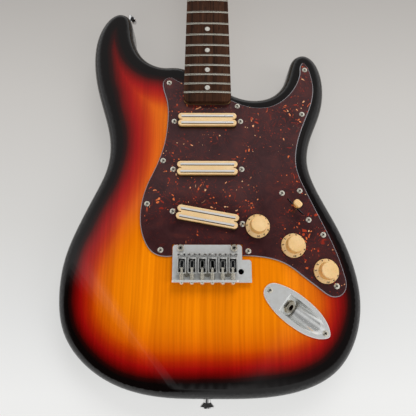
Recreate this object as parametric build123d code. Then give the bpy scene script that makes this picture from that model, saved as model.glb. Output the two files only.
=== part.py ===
"""Solid-body electric guitar with a two-point tremolo bridge.

Frame, in millimetres: the guitar lies on its back.  +Z leaves the face, +Y runs along the neck to
the headstock, +X is the treble side.  X = 0 is the centre line of the neck, Y = 0 the scale line at
the bridge, and Z = 0 the outer face of the back cover and neck plate, on which the guitar rests.
"""

from build123d import *
import os
from math import asin, atan2, cos, degrees, hypot, radians, sin, sqrt, tan

os.makedirs("parts", exist_ok=True)

# ---------------------------------------------------------------- driving dimensions (mm)

# Heights of the main layers
COVER_T = 1.6  # back cover and neck plate
BODY_T = 44.5
GUARD_T = 2.3
BACK = COVER_T
TOP = BACK + BODY_T
GUARD_TOP = TOP + GUARD_T

# Body
EDGE_R = 11.0  # roundover of both rims
ARM_START = (-150.0, 30.0)  # forearm contour: the line on the face where it begins
ARM_END = (-20.0, -135.0)
ARM_R = 189.0
BELLY_CENTRE = (-157.0, 128.0)  # belly cut: a shallow dish in the back, over the edge
BELLY_R = 260.0
BELLY_DEPTH = 17.0

# Scale, neck and fretboard
SCALE = 647.7
FRETS = 21
BOARD_END = 180.5
NUT_W = 42.0
HEEL_W = 55.8
BOARD_T = 6.0
BOARD_R = 305.0  # 12-inch radius
BOARD_RISE = 10.1  # board's crown above the face of the body
BOARD_TOP = TOP + BOARD_RISE
NECK_TOP = BOARD_TOP - BOARD_T
POCKET_DEPTH = 16.0
POCKET_FLOOR = TOP - POCKET_DEPTH
POCKET_GAP = 0.15
HEEL_END = 252.0  # where the body stops under the neck
HEEL_CORNER_R = 7.0
HEEL_BLOCK_R = 5.0
SHAFT_DEPTH = (17.2, 16.2, 15.2)  # neck wood below the board: heel end, middle, nut end
SHAFT_Y = (286.0, 470.0, 636.0)
NUT_T = 3.4
NUT_RISE = 1.9
NUT_SLOT_DEPTH = 3.0
BOARD_LIP = 4.0  # board beyond the nut
FRET_W = 2.4
FRET_H = 1.1
DOT_R = 3.0
DOT_T = 1.5
ROD_R = 3.0
CHANNEL_W = 6.4
CHANNEL_DEPTH = 8.0

# Headstock
HEAD_DROP = 11.6  # its face below the board's crown
HEAD_T = 14.0
HEAD_FACE = BOARD_TOP - HEAD_DROP
HEAD_BACK = HEAD_FACE - HEAD_T
HEAD_BLEND_Y = 672.0
HEAD_EDGE_R = 1.2

# Tuners
TUNERS = 6
TREES = [(-1.0, 716.0), (15.5, 742.0)]  # string trees
POST_FIRST = (-20.5, 683.0)
POST_STEP = (7.0, 25.4)
POST_R = 3.0
POST_RISE = 17.0
POST_DROP = 9.5  # post inside its housing
HOUSING = (16.0, 20.0, 12.6)
BUSH_R = 4.9
SHAFT_R = 2.0
SHAFT_DROP = 6.4  # button's axis below the headstock's back
BUTTON_REACH = 18.0  # from the post's axis to the button's inner end
BUTTON = (13.0, 20.0, 6.6)
RUN_GAP = 0.05  # radial running clearance

# Pickguard
BEVEL = 1.0
SCREW_GAP = 0.05
GUARD_SCREW = dict(head_r=3.0, shank_r=1.5, length=12.0, crown=0.9)

# Pickups: centre x, y and tilt in degrees
PICKUPS = {
    "neck": (0.0, 158.6, 0.0),
    "middle": (0.0, 99.1, 0.0),
    "bridge": (0.1, 43.3, -10.5),
}
COVER_L = 67.3
COVER_W = 16.0
LOBE_W = 7.6
COVER_RISE = 5.7  # above the pickguard
COVER_DROP = 11.0  # below the face of the body
EAR_L = 84.0
EAR_T = 2.4
RAIL_L = 60.0
RAIL_W = 2.0
RAIL_RISE = 0.5
RAIL_DEPTH = 10.0
PICKUP_SCREW_X = 38.5
PICKUP_GAP = 0.35
PICKUP_POCKET = (88.5, 24.0, 20.0)
PICKUP_SCREW = dict(head_r=3.1, shank_r=1.45, length=17.0, crown=1.0)

# Controls
KNOBS = {"volume": (54.1, 33.6), "tone_1": (91.3, 12.6), "tone_2": (123.9, -14.3)}
KNOB_R = 12.9
KNOB_H = 13.6
KNOB_GAP = 0.8  # between pickguard and skirt
KNOB_GRIP_R = 9.4
POT_R = 11.8
POT_H = 9.5
POT_BUSH_R = 4.6
POT_SHAFT_R = 3.0
CONTROL_DEPTH = 32.0
SWITCH = (96.2, 56.0)
SWITCH_TURN = -48.0  # the slot's direction, degrees from +X
SLOT_L = 24.6
SLOT_W = 1.8
LEVER_W = 5.0
LEVER_T = 1.0
LEVER_PIVOT_DROP = 13.0  # below the face of the body
LEVER_RISE = 12.0  # above the pickguard
TIP_GAP = 4.2
TIP_H = 9.8
SWITCH_SCREW_X = 20.4
SWITCH_SCREW = dict(head_r=3.0, shank_r=1.45, length=9.0, crown=0.9)

# Bridge
STUD_X = 28.0
STUD_Y = 9.4
STUD_NECK_R = 2.5
STUD_HEAD_R = 3.5
STUD_BUSH_R = 4.9
STUD_BUSH_L = 18.0
PLATE_LIFT = 3.2  # plate floats above the face of the body
PLATE_T = 2.8
PLATE_X = 36.3
PLATE_FRONT = 13.0
PLATE_REAR = -26.0
PLATE_ARM_X = 45.8
PLATE_ARM_FRONT = -2.8
LIP_H = 6.4
LIP_T = 2.2
PLATE_Z = TOP + PLATE_LIFT
PLATE_TOP = PLATE_Z + PLATE_T
BLOCK_X = 31.5  # stops short of the arm's hole, which has a boss of its own
BLOCK_FRONT = -5.5
BLOCK_REAR = -21.0
BLOCK_H = 39.5
ARM_HOLE = (35.0, -15.0)
ARM_HOLE_R = 2.9
ARM_BOSS_R = 5.4
ARM_BOSS_L = 16.0
BLOCK_SCREW_X = 21.0
BLOCK_SCREW = dict(head_r=3.2, shank_r=1.7, length=12.0, crown=0.0)
BLOCK_SCREW_Y = -17.4
STRING_PITCH = 10.5
STRING_HOLE_Y = -9.5
STRING_HOLE_R = 1.8
SADDLE_W = 8.8
SADDLE_FRONT = 3.5
SADDLE_REAR = -17.0
SADDLE_LIFT = 1.0
SADDLE_H = 7.2
SADDLE_SLOT_W = 4.0
GRUB_X = 2.9
GRUB_Y = 1.2
GRUB_R = 1.25
TRIM_R = 1.4  # intonation screw
TRIM_RISE = 3.4
TRIM_HEAD_R = 2.2
TRIM_TIP_Y = -11.0
BUSH_GAP = 0.05

# Springs and claw, in the cavity behind the bridge
CAVITY_X = 30.0
CAVITY_REAR = -31.0
CAVITY_FRONT = 97.0
CAVITY_DEPTH = 16.0
SPRING_X = (-20.0, 0.0, 20.0)
SPRING_Z = BACK + 6.4
SPRING_R = 3.8
SPRING_WIRE_R = 0.6
CLAW_Y = 76.0
CLAW_T = 1.6
CLAW_X = 25.0
CLAW_SCREW_X = 13.0

# Back cover and neck plate
COVER_X = 46.0
COVER_REAR = -42.0
COVER_FRONT = 108.0
COVER_SLOT_X = 33.0
COVER_SCREW = dict(head_r=3.0, shank_r=1.5, length=12.0, crown=0.0)
NECK_PLATE = (51.0, 64.0)
NECK_PLATE_Y = 217.0
NECK_SCREW_X = 19.0
NECK_SCREW_Y = 25.4
NECK_SCREW = dict(head_r=4.0, shank_r=2.3, length=42.0, crown=0.0)

# Jack: the plate's middle, the direction of its long axis and the cup
JACK = (91.35, -55.05)
JACK_TURN = -38.25
JACK_T = 1.5
JACK_SCREW_X = 34.3
JACK_SCREW = dict(head_r=3.1, shank_r=1.5, length=14.0, crown=0.9)
CUP_R = 10.5
CUP_WALL = 1.2
CUP_START = -14.5  # the wall with the hole leaves the plate here
CUP_END = 29.0  # the ramp meets the plate here
CUP_SLOPE = 24.0
CUP_WALL_TILT = 45.0
CUP_Y = 0.5
SOCKET_R = 4.7
SOCKET_BORE_R = 3.25
SOCKET_PROUD = 2.6
SOCKET_L = 22.0

# Strap buttons: seat and outward direction in the XY plane
STRAP_SEATS = {"horn": ((-106.5, 315.2), (0.58, 0.81)), "tail": ((0.0, -138.0), (0.0, -1.0))}
STRAP_H = 11.0
STRAP_SINK = 0.6

# ---------------------------------------------------------------- outlines (x, y)

BODY_OUTLINE = [
    (-48, 237.3), (-64, 239.8), (-79, 249.5), (-90, 267), (-95.2, 286), (-97.3, 301),
    (-101.6, 311.8), (-112, 316.3), (-122.5, 312.2), (-134, 296.5), (-140.7, 272), (-140.6, 240),
    (-134, 206), (-123, 171), (-114.2, 134), (-116, 103), (-127, 73), (-142.5, 36), (-154, 0),
    (-157.8, -38), (-151, -76.5), (-131, -103.5), (-95, -125.5), (-46, -136.4), (3, -138),
    (52, -137.2), (96, -130), (130, -113), (153, -81), (161.4, -42), (156.8, -3), (143, 37),
    (123.5, 80), (116.2, 110), (122, 141), (135.5, 174), (141.8, 207), (138.8, 234),
    (130.5, 249.5), (119, 255), (108.5, 250.5), (103, 240), (93.5, 213), (78, 197), (60, 192),
    (43, 193.8), (18, 206), (-14, 228), (-32, 236.3),
]
GUARD_LEFT = [
    (-28.6, 210.4), (-38.3, 214.5), (-46.2, 217.6), (-52.2, 213.6), (-53.2, 205), (-48.3, 186.7),
    (-46.3, 160), (-49.2, 131.7), (-58.3, 101.7), (-66.7, 81.7), (-72.2, 60), (-72.7, 38.3),
    (-67.5, 18.3), (-56.7, 4.5), (-46, 1.1), (-37.4, 1.6),
]
GUARD_RIGHT = [
    (37.4, 1.9), (50, 1.4), (66, -0.8), (84, -7.4), (100, -19.4), (118.8, -34.4), (128, -40.1),
    (138, -38.9), (144.2, -30), (143.5, -18), (137.2, 6), (125, 37.5), (108.1, 77.5),
    (100.8, 102), (102.3, 125), (111, 152.5), (121.9, 178.8), (127.1, 206), (124.8, 224),
    (121.2, 234.8), (117.2, 238.6), (114.3, 235.6), (112.6, 226), (107.5, 209.5), (92.5, 189.4),
    (75, 178.9), (58, 177.1),
    (43, 180.2), (28.4, 186.9),
]
HEAD_RIGHT = [(22.5, 655.0), (26.5, 668.0), (33.0, 700.0), (38.0, 745.0), (38.5, 790.0), (31.0, 826.0)]
HEAD_TIP = [(31.0, 826.0), (21.0, 840.0), (6.5, 829.0)]

# ---------------------------------------------------------------- shared builders


def half_width(y):
    """Half the width of neck and board at y."""
    return (NUT_W + (HEEL_W - NUT_W) * (SCALE - y) / (SCALE - BOARD_END)) / 2


def fret_y(n):
    return SCALE / 2 ** (n / 12)


def slab(face, low, high):
    return extrude(Pos(0, 0, low) * face, high - low)


def rod(x, y, low, high, r):
    return Pos(x, y, (low + high) / 2) * Cylinder(r, high - low)


def cuboid(x, y, z):
    """Box from three (low, high) pairs."""
    centre = [(low + high) / 2 for low, high in (x, y, z)]
    return Pos(*centre) * Box(*[high - low for low, high in (x, y, z)])


def turned(*points):
    """Solid of revolution about Z from (radius, z) points."""
    return revolve(Plane.XZ * make_face(Polyline(*points, close=True)), Axis.Z)


def across_x(face, low, high):
    """Extrudes a (y, z) face along X."""
    plane = Plane(origin=(low, 0, 0), x_dir=(0, 1, 0), z_dir=(1, 0, 0))
    return extrude(plane * face, high - low)


def crown_arc(head_r, crown):
    bend = (head_r**2 + crown**2) / (2 * crown)
    middle = (0.6 * head_r, crown - bend + sqrt(bend**2 - (0.6 * head_r) ** 2))
    return ThreePointArc((0, crown), middle, (head_r, 0))


def screw(head_r, shank_r, length, crown):
    """Countersunk screw on Z: the head's rim at z = 0, the tip down."""
    sink = head_r - shank_r
    top = (0, crown) if crown else (0, 0)
    side = Polyline(
        (head_r, 0), (shank_r, -sink), (shank_r, shank_r - length), (0, -length), top
    )
    rim = crown_arc(head_r, crown) if crown else Line((0, 0), (head_r, 0))
    return revolve(Plane.XZ * make_face([*side.edges(), rim]), Axis.Z)


def screw_hole(head_r, shank_r, length, crown):
    """What the screw needs cut away, with its clearance and room above the head."""
    grown, bore = head_r + SCREW_GAP, shank_r + SCREW_GAP
    return turned(
        (0, 5), (grown, 5), (grown, 0), (bore, bore - grown), (bore, -length - 0.5), (0, -length - 0.5)
    )


def in_frame(origin, turn):
    return Pos(*origin) * Rot(0, 0, turn)


def neck_plan(low_y, high_y, grow=0.0):
    """Tapered outline of neck and board with rounded corners at the body end."""
    points = [
        (-half_width(low_y) - grow, low_y - grow), (half_width(low_y) + grow, low_y - grow),
        (half_width(high_y) + grow, high_y), (-half_width(high_y) - grow, high_y),
    ]
    face = make_face(Polyline(*points, close=True))
    corners = face.vertices().sort_by(Axis.Y)[:2]
    return fillet(corners, HEEL_CORNER_R + grow)


def guard_screw_points():
    return [
        (-45.8, 209.7), (-50, 109.5), (-66, 58.8), (-49.7, 8), (43.4, 6.9), (35.3, 178.6),
        (118.4, 228.1), (111.1, 168.1), (102.3, 73.9), (124.3, 24.5), (134, -29.5),
    ]


def saddle_x(i):
    return (i - 2.5) * STRING_PITCH


# ---------------------------------------------------------------- body


def contour_blank():
    """The body's outline with the forearm contour, before the rims are rounded."""
    face = make_face(Spline(*BODY_OUTLINE, periodic=True))
    run = Vector(ARM_END[0] - ARM_START[0], ARM_END[1] - ARM_START[1], 0).normalized()
    outward = Vector(run.Y, -run.X, 0)
    reach = 110.0

    def drop(s):
        return TOP - ARM_R + sqrt(ARM_R**2 - s**2)

    side = Polyline((0, TOP), (-600, TOP), (-600, -50), (reach, -50), (reach, drop(reach)))
    arc = ThreePointArc((reach, drop(reach)), (reach / 2, drop(reach / 2)), (0, TOP))
    plane = Plane(origin=(*ARM_START, 0), x_dir=outward, z_dir=outward.cross(Vector(0, 0, 1)))
    under_top = extrude(plane * make_face([*side.edges(), arc]), 500, both=True)
    return slab(face, BACK, TOP + 15) & under_top


def heel_block():
    """Wood under the end of the neck, from the cutaways to the heel's squared end."""
    w = HEEL_W / 2 + 0.8
    return cuboid((-w, w), (BOARD_END + 10, HEEL_END), (BACK, POCKET_FLOOR))


def route_tools():
    """Everything routed or drilled in the body."""
    tools = [slab(neck_plan(BOARD_END, HEEL_END + 20, POCKET_GAP), POCKET_FLOOR, TOP + 10)]
    length, width, depth = PICKUP_POCKET
    for x, y, turn in PICKUPS.values():
        pocket = in_frame((x, y), turn) * RectangleRounded(length, width, 5)
        tools.append(slab(pocket, TOP - depth, TOP + 5))
    tools.append(cuboid((20, 34), (40, 158), (TOP - 15, TOP + 5)))
    tools += control_cavity() + bridge_route() + jack_route()
    for x, y in guard_screw_points():
        tools.append(Pos(x, y, GUARD_TOP) * screw_hole(**GUARD_SCREW))
    for x, y in neck_screw_points():
        tools.append(rod(x, y, -1, POCKET_FLOOR + 1, NECK_SCREW["shank_r"] + 0.3))
    for x, y in cover_screw_points():
        tools.append(Pos(x, y, 0) * Rot(180, 0, 0) * screw_hole(**COVER_SCREW))
    for seat, outward in STRAP_SEATS.values():
        tools.append(strap_place(seat, outward) * rod(0, 0, -24, 5, 1.8))
        tools.append(strap_place(seat, outward) * rod(0, 0, STRAP_SINK, 9, 5.3))
    return tools


def control_cavity():
    """Room under the pickguard for three pots and the selector switch."""
    centres = list(KNOBS.values())
    tools = []
    r = POT_R + 2.4
    for (ax, ay), (bx, by) in zip(centres, centres[1:]):
        place = in_frame(((ax + bx) / 2, (ay + by) / 2), degrees(atan2(by - ay, bx - ax)))
        slot = place * SlotCenterToCenter(hypot(bx - ax, by - ay), 2 * r)
        tools.append(slab(slot, TOP - CONTROL_DEPTH, TOP + 5))
    switch = in_frame(SWITCH, SWITCH_TURN) * RectangleRounded(50, 17, 4)
    tools.append(slab(switch, TOP - CONTROL_DEPTH, TOP + 5))
    link = in_frame((86, 36), SWITCH_TURN) * Rectangle(24, 26)
    tools.append(slab(link, TOP - CONTROL_DEPTH, TOP + 5))
    return tools


def bridge_route():
    """Hole for the tremolo block, spring cavity behind it, and the holes of studs and claw."""
    x = BLOCK_X + 5.0
    front = BLOCK_FRONT + 4
    tools = [
        cuboid((-x, x), (PLATE_REAR + 1.5, front), (TOP - 12, TOP + 5)),
        cuboid((-x, x), (CAVITY_REAR, front), (BACK - 5, TOP - 10)),
        cuboid((-CAVITY_X, CAVITY_X), (CAVITY_REAR, CAVITY_FRONT), (BACK - 5, BACK + CAVITY_DEPTH)),
        rod(ARM_HOLE[0], ARM_HOLE[1] - 1.6, PLATE_Z - ARM_BOSS_L - 4, TOP + 5, ARM_BOSS_R + 2.6),
    ]
    for side in (-1, 1):
        tools.append(rod(side * STUD_X, STUD_Y, TOP - STUD_BUSH_L, TOP + 5, STUD_BUSH_R + BUSH_GAP))
        hole = Rot(-90, 0, 0) * Cylinder(2.1, 50)
        tools.append(Pos(side * CLAW_SCREW_X, CAVITY_FRONT + 5, SPRING_Z) * hole)
    return tools


def jack_route():
    """Cavity for the jack cup and its socket, drilled through to the controls."""
    place = in_frame(JACK, JACK_TURN)
    deep = place * cuboid((-29, 8), (CUP_Y - 9, CUP_Y + 9), (TOP - 32, TOP + 5))
    cup = place * Pos(0, 0, TOP) * cup_shape(CUP_R + CUP_WALL + 0.5, CUP_WALL + 0.5)
    start, end = Vector(84, -48, TOP - 20), Vector(96, -2, TOP - 20)
    wire = Plane(origin=start, z_dir=end - start) * extrude(Circle(4.5), (end - start).length)
    lift = Pos(0, CUP_Y, TOP + JACK_T)
    screws = [place * lift * Pos(s * JACK_SCREW_X, 0, 0) * screw_hole(**JACK_SCREW) for s in (-1, 1)]
    return [deep, cup, wire] + screws


def body():
    blank = contour_blank()
    rims = blank.edges().filter_by(GeomType.LINE, reverse=True)
    shape = fillet(rims, EDGE_R)
    dish = Pos(*BELLY_CENTRE, BACK + BELLY_DEPTH - BELLY_R) * Sphere(BELLY_R)
    shape = shape - dish + heel_block()
    heel_corners = shape.edges().filter_by(Axis.Z).filter_by(lambda e: abs(e.center().Y - HEEL_END) < 0.01)
    return fillet(heel_corners, HEEL_BLOCK_R) - route_tools()


# ---------------------------------------------------------------- neck and board


def shaft_section(y, depth, power, width=None):
    """Cross-section of the neck at y: flat on top, a superellipse below."""
    w = width or half_width(y)
    steps = 10
    bowl = []
    for i in range(steps + 1):
        t = radians(180 * i / steps)
        side = 1 if cos(t) > 0 else -1
        bowl.append((side * w * abs(cos(t)) ** (2 / power), NECK_TOP - depth * sin(t) ** (2 / power)))
    curve = Spline(*bowl)
    face = make_face([curve, Line(bowl[-1], bowl[0])])
    return Plane(origin=(0, y, 0), x_dir=(1, 0, 0), z_dir=(0, -1, 0)) * face


def post_point(i):
    return POST_FIRST[0] + i * POST_STEP[0], POST_FIRST[1] + i * POST_STEP[1]


def post_turn():
    return -degrees(atan2(POST_STEP[0], POST_STEP[1]))


def post_frame(i):
    """Frame on post i: +Z along the post, -X towards the button."""
    return in_frame(post_point(i), post_turn())


def head_outline():
    pitch = hypot(*POST_STEP)
    ends = [(post_frame(0) * Pos(-12.5, s, 0)).position for s in (-16, 5 * pitch + 13)]
    low, high = [(p.X, p.Y) for p in ends]
    tip = [HEAD_TIP[0], HEAD_TIP[1], high]
    return [
        Spline(*HEAD_RIGHT, tangents=[(0.1, 1), (-0.45, 1)]),
        Spline(*tip, tangents=[(-0.45, 1), (-0.25, -1)]),
        Line(high, low),
        Spline(low, (-30.5, 663.0), (-22.5, 655.0), tangents=[(-0.25, -1), (0.6, -1)]),
        Line((-22.5, 655.0), (22.5, 655.0)),
    ]


def headstock():
    plate = slab(make_face(head_outline()), HEAD_BACK, HEAD_FACE)
    rims = plate.edges().filter_by(Axis.Z, reverse=True)
    rims = rims.filter_by(lambda e: e.center().Y > 656)
    plate = fillet(rims, HEAD_EDGE_R)
    # The neck's end: from the board's lip down to the face in one curve
    neck_end = loft([
        shaft_section(SHAFT_Y[2], SHAFT_DEPTH[2], 2.4),
        shaft_section(HEAD_BLEND_Y, NECK_TOP - HEAD_BACK, 5.0, 22.4),
    ])
    lip = SCALE + NUT_T + BOARD_LIP
    step = NECK_TOP - HEAD_FACE
    bend = ((HEAD_BLEND_Y - lip) ** 2 + step**2) / (2 * step)
    half = (HEAD_BLEND_Y - lip) / 2
    middle = (lip + half, HEAD_FACE + bend - sqrt(bend**2 - half**2))
    scoop = make_face([
        ThreePointArc((lip, NECK_TOP), middle, (HEAD_BLEND_Y, HEAD_FACE)),
        *Polyline(
            (HEAD_BLEND_Y, HEAD_FACE), (HEAD_BLEND_Y + 5, HEAD_FACE), (HEAD_BLEND_Y + 5, NECK_TOP + 5),
            (lip, NECK_TOP + 5), (lip, NECK_TOP),
        ).edges(),
    ])
    return plate + (neck_end - across_x(scoop, -40, 40))


def neck():
    heel = slab(neck_plan(BOARD_END, HEEL_END + 6), POCKET_FLOOR, NECK_TOP)
    depth = NECK_TOP - POCKET_FLOOR
    sections = [shaft_section(y, d, 2.4) for y, d in zip(SHAFT_Y, SHAFT_DEPTH)]
    shape = heel + loft([shaft_section(HEEL_END + 5, depth - 0.2, 6.0), sections[0]])
    shape = shape + loft(sections[:2]) + loft(sections[1:]) + headstock()
    tools = [
        cuboid((-CHANNEL_W / 2, CHANNEL_W / 2), (205, 668), (NECK_TOP - CHANNEL_DEPTH, NECK_TOP + 1))
    ]
    for x, y in neck_screw_points():
        tools.append(Pos(x, y, 0) * Rot(180, 0, 0) * screw_hole(**NECK_SCREW))
    for i in range(TUNERS):
        tools.append(post_frame(i) * rod(0, 0, HEAD_BACK - 1, HEAD_FACE + 1, BUSH_R + BUSH_GAP))
    for x, y in TREES:
        tools.append(rod(x, y, HEAD_FACE - 9, HEAD_FACE + 1, 1.2))
    return shape - tools


def board_cylinder(extra=0.0):
    """Everything under the board's crown, raised by extra."""
    bar = Rot(90, 0, 0) * Cylinder(BOARD_R + extra, 2000)
    return Pos(0, SCALE / 2, BOARD_TOP - BOARD_R) * bar


def crown_z(x):
    return BOARD_TOP - BOARD_R + sqrt(BOARD_R**2 - x**2)


def dot_points():
    points = []
    for n in (3, 5, 7, 9, 12, 15, 17, 19, 21):
        y = (fret_y(n) + fret_y(n - 1)) / 2
        points += [(x, y) for x in ((-12, 12) if n == 12 else (0,))]
    return points


def fretboard():
    end = SCALE + NUT_T + BOARD_LIP
    shape = slab(neck_plan(BOARD_END, end), NECK_TOP, BOARD_TOP + 1) & board_cylinder()
    tools = [cuboid((-40, 40), (SCALE, SCALE + NUT_T), (BOARD_TOP - NUT_SLOT_DEPTH, BOARD_TOP + 5))]
    for x, y in dot_points():
        tools.append(rod(x, y, crown_z(abs(x) + DOT_R) - DOT_T, BOARD_TOP + 1, DOT_R + 0.02))
    return shape - tools


def fret_markers():
    dots = []
    for x, y in dot_points():
        top = crown_z(abs(x) + DOT_R)
        dots.append(rod(x, y, top - DOT_T, top, DOT_R))
    return dots


def frets():
    """Crowned wires that follow the board's radius."""
    bars = []
    axis = Axis((0, 0, BOARD_TOP - BOARD_R), (0, 1, 0))
    for n in range(1, FRETS + 1):
        y, low = fret_y(n), BOARD_TOP + 0.02
        span = 2 * degrees(asin((half_width(fret_y(n)) - 0.2) / BOARD_R))
        wire = make_face([
            Line((y - FRET_W / 2, low), (y + FRET_W / 2, low)),
            ThreePointArc((y + FRET_W / 2, low), (y, low + FRET_H), (y - FRET_W / 2, low)),
        ])
        profile = Plane(origin=(0, 0, 0), x_dir=(0, 1, 0), z_dir=(1, 0, 0)) * wire
        bars.append(revolve(profile, axis, span).rotate(axis, -span / 2))
    return bars


def nut():
    w = half_width(SCALE) - 0.1
    low = BOARD_TOP - NUT_SLOT_DEPTH
    blank = cuboid((-w, w), (SCALE + 0.02, SCALE + NUT_T - 0.02), (low, BOARD_TOP + NUT_RISE + 1))
    shape = blank & board_cylinder(NUT_RISE)
    slots = []
    for i in range(6):
        x, width = (i - 2.5) * 7.0, 1.3 - 0.15 * i
        cut = crown_z(x) + NUT_RISE - 0.9
        slots.append(cuboid((x - width / 2, x + width / 2), (SCALE - 1, SCALE + 5), (cut, cut + 9)))
    return shape - slots


def truss_rod():
    low = NECK_TOP - CHANNEL_DEPTH + ROD_R + 0.1
    bar = Rot(-90, 0, 0) * Cylinder(ROD_R, 1)
    start, end, nut_len = 206.0, 651.0, 12.0
    shaft = Pos(0, (start + end) / 2, low) * Rot(-90, 0, 0) * Cylinder(ROD_R - 0.4, end - start)
    bullet = Pos(0, end + nut_len / 2, low) * Rot(-90, 0, 0) * Cylinder(ROD_R, nut_len)
    key = Pos(0, end + nut_len, low) * Rot(-90, 0, 0) * extrude(RegularPolygon(1.9, 6), 5, both=True)
    anchor = Pos(0, start + 4, low) * Rot(-90, 0, 0) * Cylinder(ROD_R, 8)
    return shaft + anchor + (bullet - key)


def string_trees():
    """Bar on a stem that holds two strings down, with its screw through both."""
    solids = []
    for x, y in TREES:
        place = in_frame((x, y), post_turn() / 2)
        stem = rod(0, 0, HEAD_FACE, HEAD_FACE + 5, 2.4)
        bar = cuboid((-6.5, 6.5), (-2.5, 2.5), (HEAD_FACE + 5, HEAD_FACE + 6.4))
        bar = fillet(bar.edges().filter_by(Axis.Z), 2.0)
        lips = [
            Pos(s * 4.6, 0, HEAD_FACE + 5) * Rot(90, 0, 0) * Cylinder(0.8, 4.6) for s in (-1, 1)
        ]
        hole = rod(0, 0, HEAD_FACE - 1, HEAD_FACE + 9, 1.2)
        solids.append(place * (stem + bar + lips - hole))
        solids.append(place * Pos(0, 0, HEAD_FACE + 6.4) * turned(
            (0, 1.2), (1.4, 0.9), (2.1, 0), (1.15, 0), (1.15, -12), (0, -13)
        ))
    return solids


# ---------------------------------------------------------------- tuners


def tuner_housings():
    length, width, height = HOUSING
    axis_z = HEAD_BACK - SHAFT_DROP
    x0 = -length / 2 - 1
    case = cuboid((x0, x0 + length), (-width / 2, width / 2), (HEAD_BACK - height, HEAD_BACK))
    case = fillet(case.edges().filter_by(Axis.Z), 4.0)
    case = fillet(case.faces().sort_by(Axis.Z)[0].edges(), 2.5)
    collar = Pos(x0 - 2.5, 0, axis_z) * Rot(0, 90, 0) * Cylinder(3.8, 6)
    post_bore = rod(0, 0, HEAD_BACK - POST_DROP - 0.2, HEAD_BACK + 1, POST_R + RUN_GAP)
    shaft_bore = Pos(-POST_R - 1.4 - 8, 0, axis_z) * Rot(0, 90, 0) * Cylinder(SHAFT_R + RUN_GAP, 16)
    shape = case + collar - [post_bore, shaft_bore]
    return [post_frame(i) * shape for i in range(TUNERS)]


def tuner_bushings():
    sleeve = rod(0, 0, HEAD_BACK + 0.1, HEAD_FACE, BUSH_R)
    washer = rod(0, 0, HEAD_FACE, HEAD_FACE + 0.8, 6.8)
    nut_part = slab(RegularPolygon(6.1, 6), HEAD_FACE + 0.8, HEAD_FACE + 3.0)
    nut_part = nut_part & turned(
        (0, HEAD_FACE), (6.2, HEAD_FACE), (6.2, HEAD_FACE + 2.3), (5.3, HEAD_FACE + 3.0), (0, HEAD_FACE + 3.0)
    )
    bore = rod(0, 0, HEAD_BACK - 1, HEAD_FACE + 5, POST_R + RUN_GAP)
    shape = sleeve + washer + nut_part - bore
    return [post_frame(i) * shape for i in range(TUNERS)]


def tuner_post(i):
    low, face = HEAD_BACK - POST_DROP, HEAD_FACE
    top = face + POST_RISE
    shape = turned(
        (0, low), (POST_R, low), (POST_R, face + 7.5), (POST_R - 0.6, face + 9),
        (POST_R - 0.6, top - 5), (POST_R, top - 3.6), (POST_R, top - 0.6), (POST_R - 0.6, top), (0, top),
    )
    eye = Pos(0, 0, face + 10.6) * Rot(0, 90, 0) * Cylinder(0.9, 10)
    return post_frame(i) * (shape - eye)


def tuner_button(i):
    """Button and its worm shaft, which runs in the housing."""
    axis_z = HEAD_BACK - SHAFT_DROP
    length, width, thick = BUTTON
    x1 = -BUTTON_REACH
    start = -POST_R - 1.6
    shaft = Pos((start + x1 - 1) / 2, 0, axis_z) * Rot(0, 90, 0) * Cylinder(SHAFT_R, start - x1 + 1)
    neck_ring = Pos(x1 + 0.6, 0, axis_z) * Rot(0, 90, 0) * Cylinder(3.2, 2.0)
    plan = Pos(x1 - length / 2, 0) * RectangleRounded(length, width, 5.5)
    grip = slab(plan, axis_z - thick / 2, axis_z + thick / 2)
    grip = fillet(grip.edges().filter_by(Axis.Z, reverse=True).group_by(Axis.Z)[0], 2.2)
    grip = fillet(grip.edges().group_by(Axis.Z)[-1], 2.2)
    return post_frame(i) * (shaft + neck_ring + grip)


# ---------------------------------------------------------------- back


def neck_screw_points():
    return [
        (sx * NECK_SCREW_X, NECK_PLATE_Y + sy * NECK_SCREW_Y) for sx in (-1, 1) for sy in (-1, 1)
    ]


def cover_screw_points():
    x = COVER_X - 5.5
    ys = (COVER_REAR + 6, (COVER_REAR + COVER_FRONT) / 2, COVER_FRONT - 6)
    return [(s * x, y) for s in (-1, 1) for y in ys]


def neck_plate():
    plate = slab(Pos(0, NECK_PLATE_Y) * RectangleRounded(*NECK_PLATE, 5), 0, COVER_T)
    return plate - [
        Pos(x, y, 0) * Rot(180, 0, 0) * screw_hole(**NECK_SCREW) for x, y in neck_screw_points()
    ]


def neck_screws():
    return [Pos(x, y, 0) * Rot(180, 0, 0) * screw(**NECK_SCREW) for x, y in neck_screw_points()]


def back_cover():
    middle, length = (COVER_REAR + COVER_FRONT) / 2, COVER_FRONT - COVER_REAR
    plate = slab(Pos(0, middle) * RectangleRounded(2 * COVER_X, length, 8), 0, COVER_T)
    slot_y = (BLOCK_FRONT + 1.5 + BLOCK_REAR - 1) / 2
    slot_w = BLOCK_FRONT - BLOCK_REAR + 2.5
    slot = slab(Pos(0, slot_y) * RectangleRounded(2 * COVER_SLOT_X, slot_w, 4), -1, COVER_T + 1)
    holes = [
        Pos(x, y, 0) * Rot(180, 0, 0) * screw_hole(**COVER_SCREW) for x, y in cover_screw_points()
    ]
    return plate - slot - holes


def back_cover_screws():
    return [Pos(x, y, 0) * Rot(180, 0, 0) * screw(**COVER_SCREW) for x, y in cover_screw_points()]


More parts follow.
